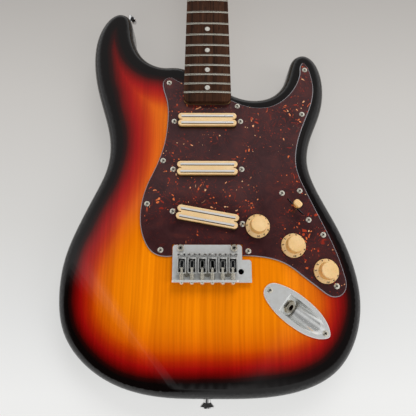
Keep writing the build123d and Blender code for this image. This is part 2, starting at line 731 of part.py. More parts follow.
def spring_claw():
    """Bent steel claw with a hook for each spring position, and its two screws."""
    low, high = SPRING_Z - 4.2, SPRING_Z + 5
    plate = cuboid((-CLAW_X, CLAW_X), (CLAW_Y, CLAW_Y + CLAW_T), (low, high))
    for x in (-20.0, -10.0, 0.0, 10.0, 20.0):
        tongue = cuboid((x - 1.3, x + 1.3), (CLAW_Y - 4.5, CLAW_Y), (high - 1.4, high))
        hook = cuboid((x - 1.3, x + 1.3), (CLAW_Y - 4.5, CLAW_Y - 3.3), (high - 3.2, high))
        plate = plate + tongue + hook
    solids, holes = [], []
    for side in (-1, 1):
        place = Pos(side * CLAW_SCREW_X, CLAW_Y, SPRING_Z) * Rot(-90, 0, 0)
        holes.append(place * Cylinder(2.1, 10))
        solids.append(place * turned((0, -2.6), (3.0, -2.6), (3.6, 0), (2, 0), (2, 41), (0, 43)))
    return [plate - holes] + solids


def tremolo_springs():
    """Closed coils with a hook at the claw and a leg turned up into the block."""
    low, high = BLOCK_FRONT + 7.5, CLAW_Y - 9.5
    leg_y = BLOCK_FRONT - 2.6
    solids = []
    for x in SPRING_X:
        coil = Pos(x, (low + high) / 2, SPRING_Z) * Rot(90, 0, 0) * Cylinder(SPRING_R, high - low)
        hollow = Pos(x, (low + high) / 2, SPRING_Z) * Rot(90, 0, 0) * Cylinder(
            SPRING_R - 2 * SPRING_WIRE_R, high - low
        )
        caps = [
            Pos(x, y, SPRING_Z) * Rot(90, 0, 0) * Cylinder(SPRING_R - 0.1, 2 * SPRING_WIRE_R)
            for y in (low + SPRING_WIRE_R, high - SPRING_WIRE_R)
        ]
        foot = cuboid(
            (x - SPRING_WIRE_R, x + SPRING_WIRE_R), (leg_y - SPRING_WIRE_R, low + 0.5),
            (SPRING_Z - SPRING_WIRE_R, SPRING_Z + SPRING_WIRE_R),
        )
        foot = foot + rod(x, leg_y, SPRING_Z, SPRING_Z + 5.2, SPRING_WIRE_R)
        eye_z = SPRING_Z + 1.2
        eye = cuboid(
            (x - SPRING_WIRE_R, x + SPRING_WIRE_R), (high - 0.5, CLAW_Y - 1.2),
            (eye_z - SPRING_WIRE_R, eye_z + SPRING_WIRE_R),
        )
        hook_top = SPRING_Z + 3.4
        eye = eye + rod(x, CLAW_Y - 1.9, eye_z, hook_top, SPRING_WIRE_R)
        solids.append(coil - hollow + caps + foot + eye)
    return solids


# ---------------------------------------------------------------- pickguard and what it carries


def guard_outline():
    notch = neck_plan(BOARD_END, 240, 0.5)
    gap = 1.1
    front = PLATE_FRONT + gap
    side = PLATE_X + gap
    edges = [
        *Spline(*GUARD_LEFT).edges(),
        *Polyline(GUARD_LEFT[-1], (-side, front), (side, front), GUARD_RIGHT[0]).edges(),
        *Spline(*GUARD_RIGHT).edges(),
        *Line(GUARD_RIGHT[-1], GUARD_LEFT[0]).edges(),
    ]
    return make_face(edges), notch


def pickguard():
    face, notch = guard_outline()
    plate = slab(face, TOP, GUARD_TOP)
    top_rim = plate.faces().sort_by(Axis.Z)[-1].edges()
    plate = chamfer(top_rim.filter_by(GeomType.LINE, reverse=True), BEVEL)
    tools = [slab(notch, TOP - 1, GUARD_TOP + 1)]
    for x, y, turn in PICKUPS.values():
        place = in_frame((x, y), turn)
        tools.append(place * slab(cover_plan(PICKUP_GAP), TOP - 1, GUARD_TOP + 1))
        for side in (-1, 1):
            hole = Pos(side * PICKUP_SCREW_X, 0, GUARD_TOP) * screw_hole(**PICKUP_SCREW)
            tools.append(place * hole)
    for x, y in KNOBS.values():
        tools.append(rod(x, y, TOP - 1, GUARD_TOP + 1, POT_BUSH_R + BUSH_GAP))
    slot = in_frame(SWITCH, SWITCH_TURN) * SlotOverall(SLOT_L, SLOT_W)
    tools.append(slab(slot, TOP - 1, GUARD_TOP + 1))
    tools += [switch_screw_place(s) * screw_hole(**SWITCH_SCREW) for s in (-1, 1)]
    tools += [Pos(x, y, GUARD_TOP) * screw_hole(**GUARD_SCREW) for x, y in guard_screw_points()]
    return plate - tools


def pickguard_screws():
    return [Pos(x, y, GUARD_TOP) * screw(**GUARD_SCREW) for x, y in guard_screw_points()]


def cover_plan(grow=0.0):
    """Two slim lobes side by side, joined short of their ends."""
    offset = (COVER_W - LOBE_W) / 2
    lobes = [Pos(0, s * offset) * SlotOverall(COVER_L + 2 * grow, LOBE_W + 2 * grow) for s in (-1, 1)]
    web = Rectangle(COVER_L - LOBE_W - 1.5, COVER_W - LOBE_W)
    return lobes[0] + lobes[1] + web


def pickup_cover(x, y, turn):
    top, low = GUARD_TOP + COVER_RISE, TOP - COVER_DROP
    shape = slab(cover_plan(), low, top)
    rims = shape.faces().sort_by(Axis.Z)[-1].edges()
    shape = fillet(rims, 0.9)
    shape = shape + slab(RectangleRounded(EAR_L, COVER_W, 6), low - EAR_T, low)
    offset = (COVER_W - LOBE_W) / 2
    tools = []
    for side in (-1, 1):
        tools.append(rail_blank(side * offset, RUN_GAP, top))
        tools.append(rod(side * PICKUP_SCREW_X, 0, low - 5, low + 5, PICKUP_SCREW["shank_r"] + 0.2))
    return Pos(x, y) * Rot(0, 0, turn) * (shape - tools)


def rail_blank(y, grow, top):
    size = (RAIL_L / 2 + grow, RAIL_W / 2 + grow)
    low = top - RAIL_DEPTH
    return cuboid((-size[0], size[0]), (y - size[1], y + size[1]), (low - grow, top + RAIL_RISE))


def pickup_rails(x, y, turn):
    top = GUARD_TOP + COVER_RISE
    offset = (COVER_W - LOBE_W) / 2
    return [in_frame((x, y), turn) * rail_blank(s * offset, 0, top) for s in (-1, 1)]


def pickup_screws():
    return [
        in_frame((x, y), turn) * Pos(side * PICKUP_SCREW_X, 0, GUARD_TOP) * screw(**PICKUP_SCREW)
        for x, y, turn in PICKUPS.values() for side in (-1, 1)
    ]


def control_pots():
    """Potentiometers under the pickguard and the nuts above it."""
    top = TOP - 0.2
    low = top - POT_H
    bush_top = GUARD_TOP + 4.2
    case = turned(
        (0, low), (POT_R, low), (POT_R, top - 1.5), (POT_R - 1.0, top), (POT_BUSH_R, top),
        (POT_BUSH_R, bush_top), (0, bush_top),
    )
    lugs = [cuboid((x - 1, x + 1), (-POT_R - 1.9, -POT_R + 2), (low + 2, low + 3)) for x in (-5, 0, 5)]
    bore = rod(0, 0, top - 5.2, bush_top + 1, POT_SHAFT_R + RUN_GAP)
    ring = slab(RegularPolygon(6.9, 6), GUARD_TOP, GUARD_TOP + 2.2)
    ring = ring - rod(0, 0, GUARD_TOP - 1, GUARD_TOP + 4, POT_BUSH_R + 0.02)
    turns = (115.0, 200.0, 200.0)
    solids = []
    for (x, y), turn in zip(KNOBS.values(), turns):
        solids += [in_frame((x, y), turn) * (case + lugs - bore), Pos(x, y) * ring]
    return solids


def knob(x, y):
    """Moulded knob: sloping skirt for the numbers, ribbed grip; its shaft is a separate solid."""
    base = GUARD_TOP + KNOB_GAP
    skirt, top = base + 4.6, base + KNOB_H
    shape = turned(
        (0, base), (KNOB_R, base), (KNOB_R, base + 1.3), (KNOB_GRIP_R + 0.9, skirt - 0.6),
        (KNOB_GRIP_R, skirt), (KNOB_GRIP_R - 0.9, top - 0.8), (KNOB_GRIP_R - 1.6, top), (0, top),
    )
    hollow = turned(
        (0, base - 1), (KNOB_R - 1.8, base - 1), (KNOB_R - 1.8, base + 0.6), (7.6, base + 3.9),
        (5.3, base + 3.9), (5.3, base + 5), (0, base + 5),
    )
    bore = rod(0, 0, base, top - 2, POT_SHAFT_R + 0.02)
    shaft = rod(0, 0, TOP - 0.2 - 5, top - 2, POT_SHAFT_R)
    return [Pos(x, y) * (shape - hollow - bore), Pos(x, y) * shaft]


def switch_screw_place(side):
    return in_frame(SWITCH, SWITCH_TURN) * Pos(side * SWITCH_SCREW_X, 0, GUARD_TOP)


def selector_switch():
    """Steel frame under the pickguard, with the pin that the lever turns on and its wafer."""
    top, low = TOP - 0.02, TOP - LEVER_PIVOT_DROP - 5
    frame = cuboid((-24, 24), (-4.6, 4.6), (top - 1.2, top))
    walls = [cuboid((-19, 19), (s * 4.1 - 0.5, s * 4.1 + 0.5), (low, top - 1.0)) for s in (-1, 1)]
    pivot = Pos(0, 0, TOP - LEVER_PIVOT_DROP) * Rot(90, 0, 0) * Cylinder(1.2, 8.2)
    wafer = cuboid((-17, 17), (4.6, 6.0), (low - 4, low + 8))
    opening = slab(SlotOverall(SLOT_L + 2, 4), top - 3, top + 1)
    tapped = [rod(s * SWITCH_SCREW_X, 0, top - 3, top + 1, 1.5) for s in (-1, 1)]
    return in_frame(SWITCH, SWITCH_TURN) * (frame + walls + pivot + wafer - opening - tapped)


def selector_screws():
    return [switch_screw_place(s) * screw(**SWITCH_SCREW) for s in (-1, 1)]


def selector_lever():
    pivot = TOP - LEVER_PIVOT_DROP
    blade = cuboid((-LEVER_W / 2, LEVER_W / 2), (-LEVER_T / 2, LEVER_T / 2), (pivot, GUARD_TOP + LEVER_RISE))
    hub = Pos(0, 0, pivot) * Rot(90, 0, 0) * Cylinder(4.0, 2.4)
    bore = Pos(0, 0, pivot) * Rot(90, 0, 0) * Cylinder(1.2 + RUN_GAP, 6)
    return in_frame(SWITCH, SWITCH_TURN) * (blade + hub - bore)


def selector_tip():
    low = GUARD_TOP + TIP_GAP
    high = low + TIP_H
    sections = [
        Pos(0, 0, low) * RectangleRounded(6.4, 5.0, 2.0),
        Pos(0, 0, high - 2.4) * RectangleRounded(9.4, 7.4, 3.0),
    ]
    shape = loft(sections)
    cap = slab(RectangleRounded(9.4, 7.4, 3.0), high - 2.4, high)
    cap = fillet(cap.faces().sort_by(Axis.Z)[-1].edges(), 2.0)
    slot = cuboid(
        (-LEVER_W / 2 - 0.02, LEVER_W / 2 + 0.02), (-LEVER_T / 2 - 0.02, LEVER_T / 2 + 0.02),
        (low - 1, GUARD_TOP + LEVER_RISE + 0.02),
    )
    return in_frame(SWITCH, SWITCH_TURN) * (shape + cap - slot)


# ---------------------------------------------------------------- jack


def jack_plan():
    """Boat-shaped plate: blunt at one end, finer at the other."""
    upper = [(-36, 8.0), (-28, 11.9), (-16, 14.9), (-4, 15.9), (8, 15.4), (20, 13.4), (30, 9.6), (36.5, 5)]
    lower = [(x, -y) for x, y in reversed(upper)]
    return Pos(0, CUP_Y) * make_face(Spline((-39.7, 0), *upper, (39.6, 0), *lower, periodic=True))


def cup_shape(r, grow):
    """Half-tube ramp and the tilted wall that carries the socket, below z = 0 and a little above."""
    slope, tilt = radians(CUP_SLOPE), radians(CUP_WALL_TILT)
    # Axis of the tube: parallel to the ramp's bottom line, CUP_R above it
    along = Vector(cos(slope), 0, sin(slope))
    bottom = Vector(CUP_END, CUP_Y, 0)
    centre = bottom + Vector(-sin(slope), 0, cos(slope)) * CUP_R
    plane = Plane(origin=centre, x_dir=(0, 1, 0), z_dir=along)
    section = Circle(r) + Pos(0, 20) * Rectangle(2 * r, 40)
    if plane.y_dir.Z < 0:
        section = Circle(r) + Pos(0, -20) * Rectangle(2 * r, 40)
    tube = extrude(plane * section, -70) + extrude(plane * section, 12)
    # Keep what lies in front of the wall
    normal = Vector(sin(tilt), 0, cos(tilt))
    wall = Plane(origin=Vector(CUP_START, CUP_Y, 0) - normal * grow, x_dir=(0, 1, 0), z_dir=normal)
    front = extrude(wall * Rectangle(120, 120), 90)
    return tube & front & cuboid((-60, 60), (-40, 40), (-40, 6))


def jack_plate():
    place = in_frame(JACK, JACK_TURN) * Pos(0, 0, TOP)
    plate = slab(jack_plan(), 0, JACK_T)
    rim = plate.faces().sort_by(Axis.Z)[-1].edges()
    plate = fillet(rim, 0.7)
    below = cuboid((-60, 60), (-40, 40), (-40, 0))
    shell = cup_shape(CUP_R + CUP_WALL, CUP_WALL) & below
    hole = socket_frame() * Cylinder(SOCKET_R + BUSH_GAP, 12)
    screws = [Pos(s * JACK_SCREW_X, CUP_Y, JACK_T) * screw_hole(**JACK_SCREW) for s in (-1, 1)]
    return place * (plate + shell - cup_shape(CUP_R, 0.0) - hole - screws)


def socket_frame():
    """On the middle of the cup's wall, +Z towards the mouth."""
    slope, tilt = radians(CUP_SLOPE), radians(CUP_WALL_TILT)
    length = (CUP_END - CUP_START) * tan(slope) / (tan(tilt) + tan(slope)) / cos(tilt)
    x = CUP_START + length / 2 * cos(tilt)
    z = -length / 2 * sin(tilt)
    return Plane(origin=(x, CUP_Y, z), x_dir=(0, 1, 0), z_dir=(sin(tilt), 0, cos(tilt))).location


def jack_socket():
    """Threaded barrel with a quarter-inch bore, its hexagon nut, washer and contact frame."""
    barrel = rod(0, 0, -CUP_WALL - 6, SOCKET_PROUD, SOCKET_R)
    flange = rod(0, 0, -CUP_WALL - 3.2, -CUP_WALL - 0.02, 7.0)
    cage = cuboid((-4.5, 4.5), (-6.5, 6.5), (-SOCKET_L, -CUP_WALL - 3.0))
    hollow = cuboid((-5.5, 5.5), (-5.3, 5.3), (-SOCKET_L + 1.4, -CUP_WALL - 6))
    bore = rod(0, 0, -CUP_WALL - 8, SOCKET_PROUD + 1, SOCKET_BORE_R)
    frame = barrel + flange + (cage - hollow) - bore
    ring = slab(RegularPolygon(6.9, 6), 0.75, 2.3) - rod(0, 0, 0, 3, SOCKET_R + 0.02)
    washer = rod(0, 0, 0.02, 0.72, 7.3) - rod(0, 0, -1, 2, SOCKET_R + 0.02)
    place = in_frame(JACK, JACK_TURN) * Pos(0, 0, TOP) * socket_frame()
    return [place * frame, place * ring, place * washer]


def jack_plate_screws():
    place = in_frame(JACK, JACK_TURN) * Pos(0, CUP_Y, TOP + JACK_T)
    return [place * Pos(s * JACK_SCREW_X, 0, 0) * screw(**JACK_SCREW) for s in (-1, 1)]


# ---------------------------------------------------------------- strap buttons


def strap_place(seat, outward):
    middle = (BACK + TOP) / 2
    direction = Vector(*outward, 0)
    return Plane(origin=(*seat, middle), z_dir=direction).location * Pos(0, 0, -STRAP_SINK)


def strap_buttons():
    """Turned buttons and the long screws that hold them."""
    solids = []
    for seat, outward in STRAP_SEATS.values():
        place = strap_place(seat, outward)
        button = turned(
            (1.9, STRAP_SINK), (5.2, STRAP_SINK), (5.2, 1.8), (3.6, 3.4), (3.6, 6.2), (7.0, 9.6), (7.0, 10.6),
            (6.3, STRAP_H), (4.1, STRAP_H), (1.9, STRAP_H - 2.2),
        )
        pin = turned((0, STRAP_H + 0.3), (2.6, STRAP_H), (3.6, STRAP_H - 0.5), (1.7, STRAP_H - 2.4), (1.7, -20), (0, -22))
        solids += [place * button, place * pin]
    return solids


# ---------------------------------------------------------------- bridge


def bridge_studs():
    """Threaded studs with a groove for the plate, and the bushes pressed in the body."""
    groove_low, groove_top = PLATE_Z - 0.9, PLATE_TOP + 0.8
    stud = turned(
        (0, TOP - 14), (3.0, TOP - 14), (3.0, TOP + 0.8), (STUD_HEAD_R, TOP + 0.8), (STUD_HEAD_R, groove_low),
        (STUD_NECK_R, groove_low), (STUD_NECK_R, groove_top), (STUD_HEAD_R, groove_top),
        (STUD_HEAD_R, groove_top + 1.6), (STUD_HEAD_R - 0.6, groove_top + 2.2), (0, groove_top + 2.2),
    )
    key = slab(RegularPolygon(1.5, 6), groove_top + 0.6, groove_top + 4)
    bush = turned(
        (3.05, TOP - STUD_BUSH_L), (STUD_BUSH_R, TOP - STUD_BUSH_L), (STUD_BUSH_R, TOP), (3.05, TOP)
    )
    places = [Pos(s * STUD_X, STUD_Y) for s in (-1, 1)]
    return [place * solid for place in places for solid in (stud - key, bush)]


def bridge_plate():
    points = [
        (-PLATE_X, PLATE_FRONT), (PLATE_X, PLATE_FRONT), (PLATE_X, PLATE_ARM_FRONT), (PLATE_ARM_X, PLATE_ARM_FRONT),
        (PLATE_ARM_X, PLATE_REAR), (-PLATE_X, PLATE_REAR),
    ]
    plate = slab(make_face(Polyline(*points, close=True)), PLATE_Z, PLATE_TOP)
    posts = plate.edges().filter_by(Axis.Z)
    round_ones = [e for e in posts if e.center().Y > 0 or e.center().X > PLATE_X + 1]
    plate = fillet([e for e in round_ones if e.center().Y > PLATE_REAR + 1], 3.0)
    lip = cuboid((-PLATE_X, PLATE_X - 4), (PLATE_REAR, PLATE_REAR + LIP_T), (PLATE_TOP, PLATE_TOP + LIP_H))
    lip = fillet(lip.edges().filter_by(Axis.Y).group_by(Axis.Z)[-1], 2.5)
    tools = []
    for side in (-1, 1):
        r = STUD_NECK_R + 0.6
        tools.append(rod(side * STUD_X, STUD_Y + 0.3, PLATE_Z - 1, PLATE_TOP + 1, r))
        open_side = (side * STUD_X - r, side * STUD_X + r)
        tools.append(cuboid(open_side, (STUD_Y + 0.3, PLATE_FRONT + 1), (PLATE_Z - 1, PLATE_TOP + 1)))
    for i in range(6):
        tools.append(rod(saddle_x(i), STRING_HOLE_Y, PLATE_Z - 1, PLATE_TOP + 1, STRING_HOLE_R + 0.3))
        tools.append(trim_frame(i) * Cylinder(TRIM_R + 0.05, 10))
    for x in (-BLOCK_SCREW_X, 0, BLOCK_SCREW_X):
        tools.append(Pos(x, BLOCK_SCREW_Y, PLATE_TOP) * screw_hole(**BLOCK_SCREW))
    tools.append(rod(*ARM_HOLE, PLATE_Z - 1, PLATE_TOP + 1, ARM_HOLE_R))
    return plate + lip - tools


def tremolo_block():
    """Sustain block with the string holes, the spring holes and the arm's threaded boss."""
    low = PLATE_Z - BLOCK_H
    block = cuboid((-BLOCK_X, BLOCK_X), (BLOCK_REAR, BLOCK_FRONT), (low, PLATE_Z))
    block = chamfer(block.faces().sort_by(Axis.Z)[0].edges().filter_by(Axis.X), 1.5)
    boss = rod(*ARM_HOLE, PLATE_Z - ARM_BOSS_L, PLATE_Z, ARM_BOSS_R)
    tools = [rod(saddle_x(i), STRING_HOLE_Y, low - 1, PLATE_Z + 1, STRING_HOLE_R) for i in range(6)]
    tools += [rod(x, BLOCK_FRONT - 2.6, low - 1, low + 6, SPRING_WIRE_R + 0.1) for x in SPRING_X]
    tools.append(rod(*ARM_HOLE, PLATE_Z - ARM_BOSS_L - 1, PLATE_Z + 1, ARM_HOLE_R))
    for x in (-BLOCK_SCREW_X, 0, BLOCK_SCREW_X):
        tools.append(Pos(x, BLOCK_SCREW_Y, PLATE_TOP) * screw_hole(**BLOCK_SCREW))
    return block + boss - tools


def block_screws():
    return [Pos(x, BLOCK_SCREW_Y, PLATE_TOP) * screw(**BLOCK_SCREW) for x in (-BLOCK_SCREW_X, 0, BLOCK_SCREW_X)]


def trim_frame(i):
    """On the lip where intonation screw i passes, +Z towards the player's tail end."""
    return Pos(saddle_x(i), PLATE_REAR + LIP_T / 2, PLATE_TOP + TRIM_RISE) * Rot(90, 0, 0)


def intonation_screws():
    length = PLATE_REAR - TRIM_TIP_Y
    head = turned(
        (0, LIP_T / 2), (TRIM_HEAD_R, LIP_T / 2), (TRIM_HEAD_R, LIP_T / 2 + 1.2), (TRIM_HEAD_R - 0.7, LIP_T / 2 + 2), (0, LIP_T / 2 + 2)
    )
    shank = Pos(0, 0, (length + LIP_T) / 2) * Cylinder(TRIM_R, -length)
    return [trim_frame(i) * (head + shank) for i in range(6)]


def saddle(i):
    """Saddle with a ridge for the string, a slot behind it and two height screws."""
    low = PLATE_TOP + SADDLE_LIFT
    top = low + SADDLE_H
    side = make_face(Polyline(
        (SADDLE_FRONT, low), (SADDLE_FRONT, top - 2.2), (SADDLE_FRONT - 1.6, top - 0.4), (GRUB_Y - 2.2, top),
        (GRUB_Y - 4.6, top - 1.2), (SADDLE_REAR + 1.2, low + 5.2), (SADDLE_REAR, low + 4.4), (SADDLE_REAR, low),
        close=True,
    ))
    shape = across_x(side, -SADDLE_W / 2, SADDLE_W / 2)
    slot_y = (SADDLE_REAR + 2.2, GRUB_Y - 3.6)
    slot = slab(
        Pos(0, sum(slot_y) / 2) * Rot(0, 0, 90) * SlotOverall(slot_y[1] - slot_y[0], SADDLE_SLOT_W), low - 1, top + 1
    )
    thread = Pos(0, SADDLE_REAR, PLATE_TOP + TRIM_RISE) * Rot(90, 0, 0) * Cylinder(TRIM_R + RUN_GAP, 8)
    groove = Pos(0, 0, top + 0.1) * Rot(90, 0, 0) * Cylinder(0.7, 12)
    bores = [rod(s * GRUB_X, GRUB_Y, low - 1, top + 1, GRUB_R + 0.03) for s in (-1, 1)]
    place = Pos(saddle_x(i), 0, 0)
    grubs = [rod(s * GRUB_X, GRUB_Y, PLATE_TOP + 0.02, top + 0.7, GRUB_R) for s in (-1, 1)]
    return [place * (shape - slot - thread - groove - bores)] + [place * g for g in grubs]


# ---------------------------------------------------------------- write the parts

NODES = {
    "body": body,
    "neck": neck,
    "fretboard": fretboard,
    "frets": frets,
    "fret_markers": fret_markers,
    "nut": nut,
    "truss_rod": truss_rod,
    "string_trees": string_trees,
    "tuner_housings": tuner_housings,
    "tuner_bushings": tuner_bushings,
    "neck_plate": neck_plate,
    "neck_screws": neck_screws,
    "back_cover": back_cover,
    "back_cover_screws": back_cover_screws,
    "spring_claw": spring_claw,
    "tremolo_springs": tremolo_springs,
    "pickguard": pickguard,
    "pickguard_screws": pickguard_screws,
    "pickup_screws": pickup_screws,
    "control_pots": control_pots,
    "selector_switch": selector_switch,
    "selector_screws": selector_screws,
    "selector_lever": selector_lever,
    "selector_tip": selector_tip,
    "jack_plate": jack_plate,
    "jack_socket": jack_socket,
    "jack_plate_screws": jack_plate_screws,
    "strap_buttons": strap_buttons,
    "bridge_studs": bridge_studs,
    "bridge_plate": bridge_plate,
    "tremolo_block": tremolo_block,
    "block_screws": block_screws,
    "intonation_screws": intonation_screws,
}
for key, place in PICKUPS.items():
    NODES[f"{key}_pickup_cover"] = lambda place=place: pickup_cover(*place)
    NODES[f"{key}_pickup_rails"] = lambda place=place: pickup_rails(*place)
for key, place in KNOBS.items():
    NODES[f"{key}_knob"] = lambda place=place: knob(*place)
for i in range(TUNERS):
    NODES[f"saddle_{i + 1}"] = lambda i=i: saddle(i)
    NODES[f"tuner_post_{i + 1}"] = lambda i=i: tuner_post(i)
    NODES[f"tuner_button_{i + 1}"] = lambda i=i: tuner_button(i)

for name, build in NODES.items():
    made = build()
    solids = made if isinstance(made, list) else [made]
    solids = [s for piece in solids for s in piece.solids()]
    export_step(Compound(children=solids) if len(solids) > 1 else solids[0], f"parts/{name}.step")
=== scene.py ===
"""Solid-body electric guitar: the finished look of every part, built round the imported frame.

The guitar lies on its back on a pale studio floor.  Lengths are metres and turns are degrees.
The sections follow the guitar as it is put together, from the lacquered body to the last screws.
"""

from math import atan2, radians

import bmesh
import bpy
from mathutils import Euler, Matrix, Vector
from mathutils.kdtree import KDTree


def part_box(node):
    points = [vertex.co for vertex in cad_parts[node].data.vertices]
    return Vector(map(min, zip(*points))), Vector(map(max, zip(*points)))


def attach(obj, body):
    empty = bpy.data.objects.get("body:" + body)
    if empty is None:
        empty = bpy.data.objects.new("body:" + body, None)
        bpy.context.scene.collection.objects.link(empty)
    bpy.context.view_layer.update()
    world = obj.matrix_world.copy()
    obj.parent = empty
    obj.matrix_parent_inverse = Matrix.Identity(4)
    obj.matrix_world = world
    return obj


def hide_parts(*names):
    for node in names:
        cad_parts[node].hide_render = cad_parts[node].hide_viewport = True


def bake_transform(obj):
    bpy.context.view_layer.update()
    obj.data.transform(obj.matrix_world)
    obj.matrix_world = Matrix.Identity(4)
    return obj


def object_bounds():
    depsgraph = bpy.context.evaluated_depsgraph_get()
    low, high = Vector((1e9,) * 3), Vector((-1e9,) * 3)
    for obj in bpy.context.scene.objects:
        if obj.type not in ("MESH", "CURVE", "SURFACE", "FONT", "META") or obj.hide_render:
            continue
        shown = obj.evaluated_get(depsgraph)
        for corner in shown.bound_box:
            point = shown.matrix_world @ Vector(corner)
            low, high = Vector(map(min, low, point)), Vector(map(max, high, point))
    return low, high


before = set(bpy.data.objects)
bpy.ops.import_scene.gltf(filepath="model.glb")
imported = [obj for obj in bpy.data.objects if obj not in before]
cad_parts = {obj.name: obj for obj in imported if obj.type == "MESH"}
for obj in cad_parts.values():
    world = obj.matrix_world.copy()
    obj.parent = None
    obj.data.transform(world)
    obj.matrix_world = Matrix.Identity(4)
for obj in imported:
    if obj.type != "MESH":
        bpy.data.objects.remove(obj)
cad_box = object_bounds()
scene = bpy.context.scene

# ---------------------------------------------------------------- camera and studio
# A camera on a stand looks down on the body of the guitar, tilted a little towards the neck, so
# that the neck beyond the twelfth fret is out of its view.

camera = bpy.data.objects.new("camera", bpy.data.cameras.new("camera"))
scene.collection.objects.link(camera)
scene.camera = camera
camera.data.sensor_width = 36.0
camera.data.lens = 31.154
camera.data.clip_start = 0.01
camera.location = (-0.0015, -0.0470, 0.4282)
camera.rotation_euler = Euler((radians(14.9), radians(-0.33), radians(-0.01)), "XYZ")


def add(tree, kind, inputs=(), **settings):
    """A shader node, with its settings made and its inputs set or linked."""
    node = tree.nodes.new("ShaderNode" + kind)
    for name, value in settings.items():
        setattr(node, name, value)
    for name, value in dict(inputs).items():
        if isinstance(value, bpy.types.NodeSocket):
            tree.links.new(value, node.inputs[name])
        else:
            node.inputs[name].default_value = value
    return node


def calc(tree, operation, *values):
    """A Math node on up to three numbers or sockets."""
    return add(tree, "Math", enumerate(values), operation=operation).outputs[0]


def remap(tree, value, start, end, low=0.0, high=1.0, **settings):
    """A value carried from start and end to low and high, and held there beyond them."""
    return add(tree, "MapRange", {0: value, 1: start, 2: end, 3: low, 4: high}, **settings).outputs[0]


def ramp(tree, value, stops, interpolation="LINEAR"):
    """A colour ramp over (position, colour) stops; a plain number makes a grey."""
    node = add(tree, "ValToRGB", {"Fac": value})
    node.color_ramp.interpolation = interpolation
    points = node.color_ramp.elements
    while len(points) < len(stops):
        points.new(0.5)
    for point, (position, colour) in zip(points, stops):
        point.position = position
        point.color = (*colour, 1) if isinstance(colour, tuple) else (colour, colour, colour, 1)
    return node.outputs["Color"]


def mix(tree, factor, first, second, blend="MIX"):
    """A colour mix."""
    node = add(tree, "Mix", data_type="RGBA", blend_type=blend, clamp_factor=True)
    factor_in, first_in, second_in = (node.inputs[index] for index in (0, 6, 7))
    for socket, value in ((factor_in, factor), (first_in, first), (second_in, second)):
        if isinstance(value, bpy.types.NodeSocket):
            tree.links.new(value, socket)
        else:
            socket.default_value = (*value, 1) if isinstance(value, tuple) else value
    return node.outputs[2]


def object_point(tree):
    """The point that is shaded, in the piece's own coordinates."""
    return add(tree, "TexCoord").outputs["Object"]


def part_of(tree, vector, axis):
    """One coordinate of a vector."""
    return add(tree, "SeparateXYZ", {0: vector}).outputs[axis]


# The floor is a wide sheet of pale paper, its colour greyer towards the neck: painted shade, for light
# that falls off there.  The camera sees more of its own tint than of what the lamps leave on it, so
# that the guitar's shadow stays soft.
FLOOR_SIZE = 6.0
FLOOR_GAP = 0.0004  # below the guitar's lowest point
FLOOR_GLOW = 0.62  # the share of its own tint
TINTED_FROM, TINTED_TO = -0.35, 0.45  # along Y
FLOOR_SHADE_TINTS = (
    (0.00, (0.88, 0.88, 0.87)), (0.26, (0.86, 0.86, 0.85)), (0.36, (0.77, 0.77, 0.76)),
    (0.50, (0.67, 0.66, 0.64)), (0.72, (0.57, 0.55, 0.525)), (1.00, (0.39, 0.37, 0.35)),
)
floor_mesh = bmesh.new()
bmesh.ops.create_grid(floor_mesh, x_segments=1, y_segments=1, size=FLOOR_SIZE / 2)
floor = bpy.data.objects.new("floor", bpy.data.meshes.new("floor"))
floor_mesh.to_mesh(floor.data)
floor_mesh.free()
scene.collection.objects.link(floor)
floor.location.z = cad_box[0].z - FLOOR_GAP

paper = bpy.data.materials.new("studio paper")
paper.use_nodes = True
tree = paper.node_tree
tree.nodes.clear()
place = remap(tree, part_of(tree, object_point(tree), "Y"), TINTED_FROM, TINTED_TO)
paper_and_shade = ramp(tree, place, FLOOR_SHADE_TINTS)
lit = add(tree, "BsdfDiffuse", {"Color": paper_and_shade}).outputs[0]
glow = add(tree, "Emission", {"Color": paper_and_shade}).outputs[0]
seen = calc(tree, "MULTIPLY", add(tree, "LightPath").outputs["Is Camera Ray"], FLOOR_GLOW)
shown = add(tree, "MixShader", {0: seen, 1: lit, 2: glow}).outputs[0]
tree.links.new(shown, add(tree, "OutputMaterial").inputs["Surface"])
floor.data.materials.append(paper)

# Soft boxes: a large one beyond the neck, a smaller one on the treble side and a weak fill.
SOFT_BOXES = {
    "key box": ((0.35, 1.25, 1.35), (1.1, 0.8), 17.0),
    "side box": ((1.25, -0.25, 0.95), (0.7, 0.9), 5.5),
    "fill box": ((-0.6, -1.1, 1.2), (0.9, 0.9), 7.0),
}
AIM = Vector((0.0, 0.03, 0.045))  # where every lamp faces, on top of the body
for name, (spot, (wide, high), watts) in SOFT_BOXES.items():
    lamp = bpy.data.lights.new(name, "AREA")
    lamp.shape = "RECTANGLE"
    lamp.size = wide
    lamp.size_y = high
    lamp.energy = watts
    box = bpy.data.objects.new(name, lamp)
    box.location = spot
    box.rotation_euler = (AIM - Vector(spot)).to_track_quat("-Z", "Y").to_euler()
    box.visible_glossy = False
    scene.collection.objects.link(box)

# The room has pale walls, greyer overhead, with dark areas that the lacquer and chrome reflect:
# the direction of each, the cosines where it is full and where it ends, and its strength.
DARK_AREAS = {
    "the ceiling over the camera": ((-0.02, 0.04, 1.0), 0.978, 0.945, 1.0),
    "the corner at the lower left": ((-0.44, -0.46, 0.77), 0.945, 0.87, 1.0),
    "the wall beyond the neck": ((0.0, 0.62, 0.78), 0.97, 0.75, 0.55),
    "the ceiling on the treble side": ((0.36, 0.06, 0.93), 0.97, 0.90, 0.85),
}
DARKENED = 0.98  # the light that the darkest area loses
BACKDROP = (0.62, 0.60, 0.58)  # what the camera sees beyond the floor

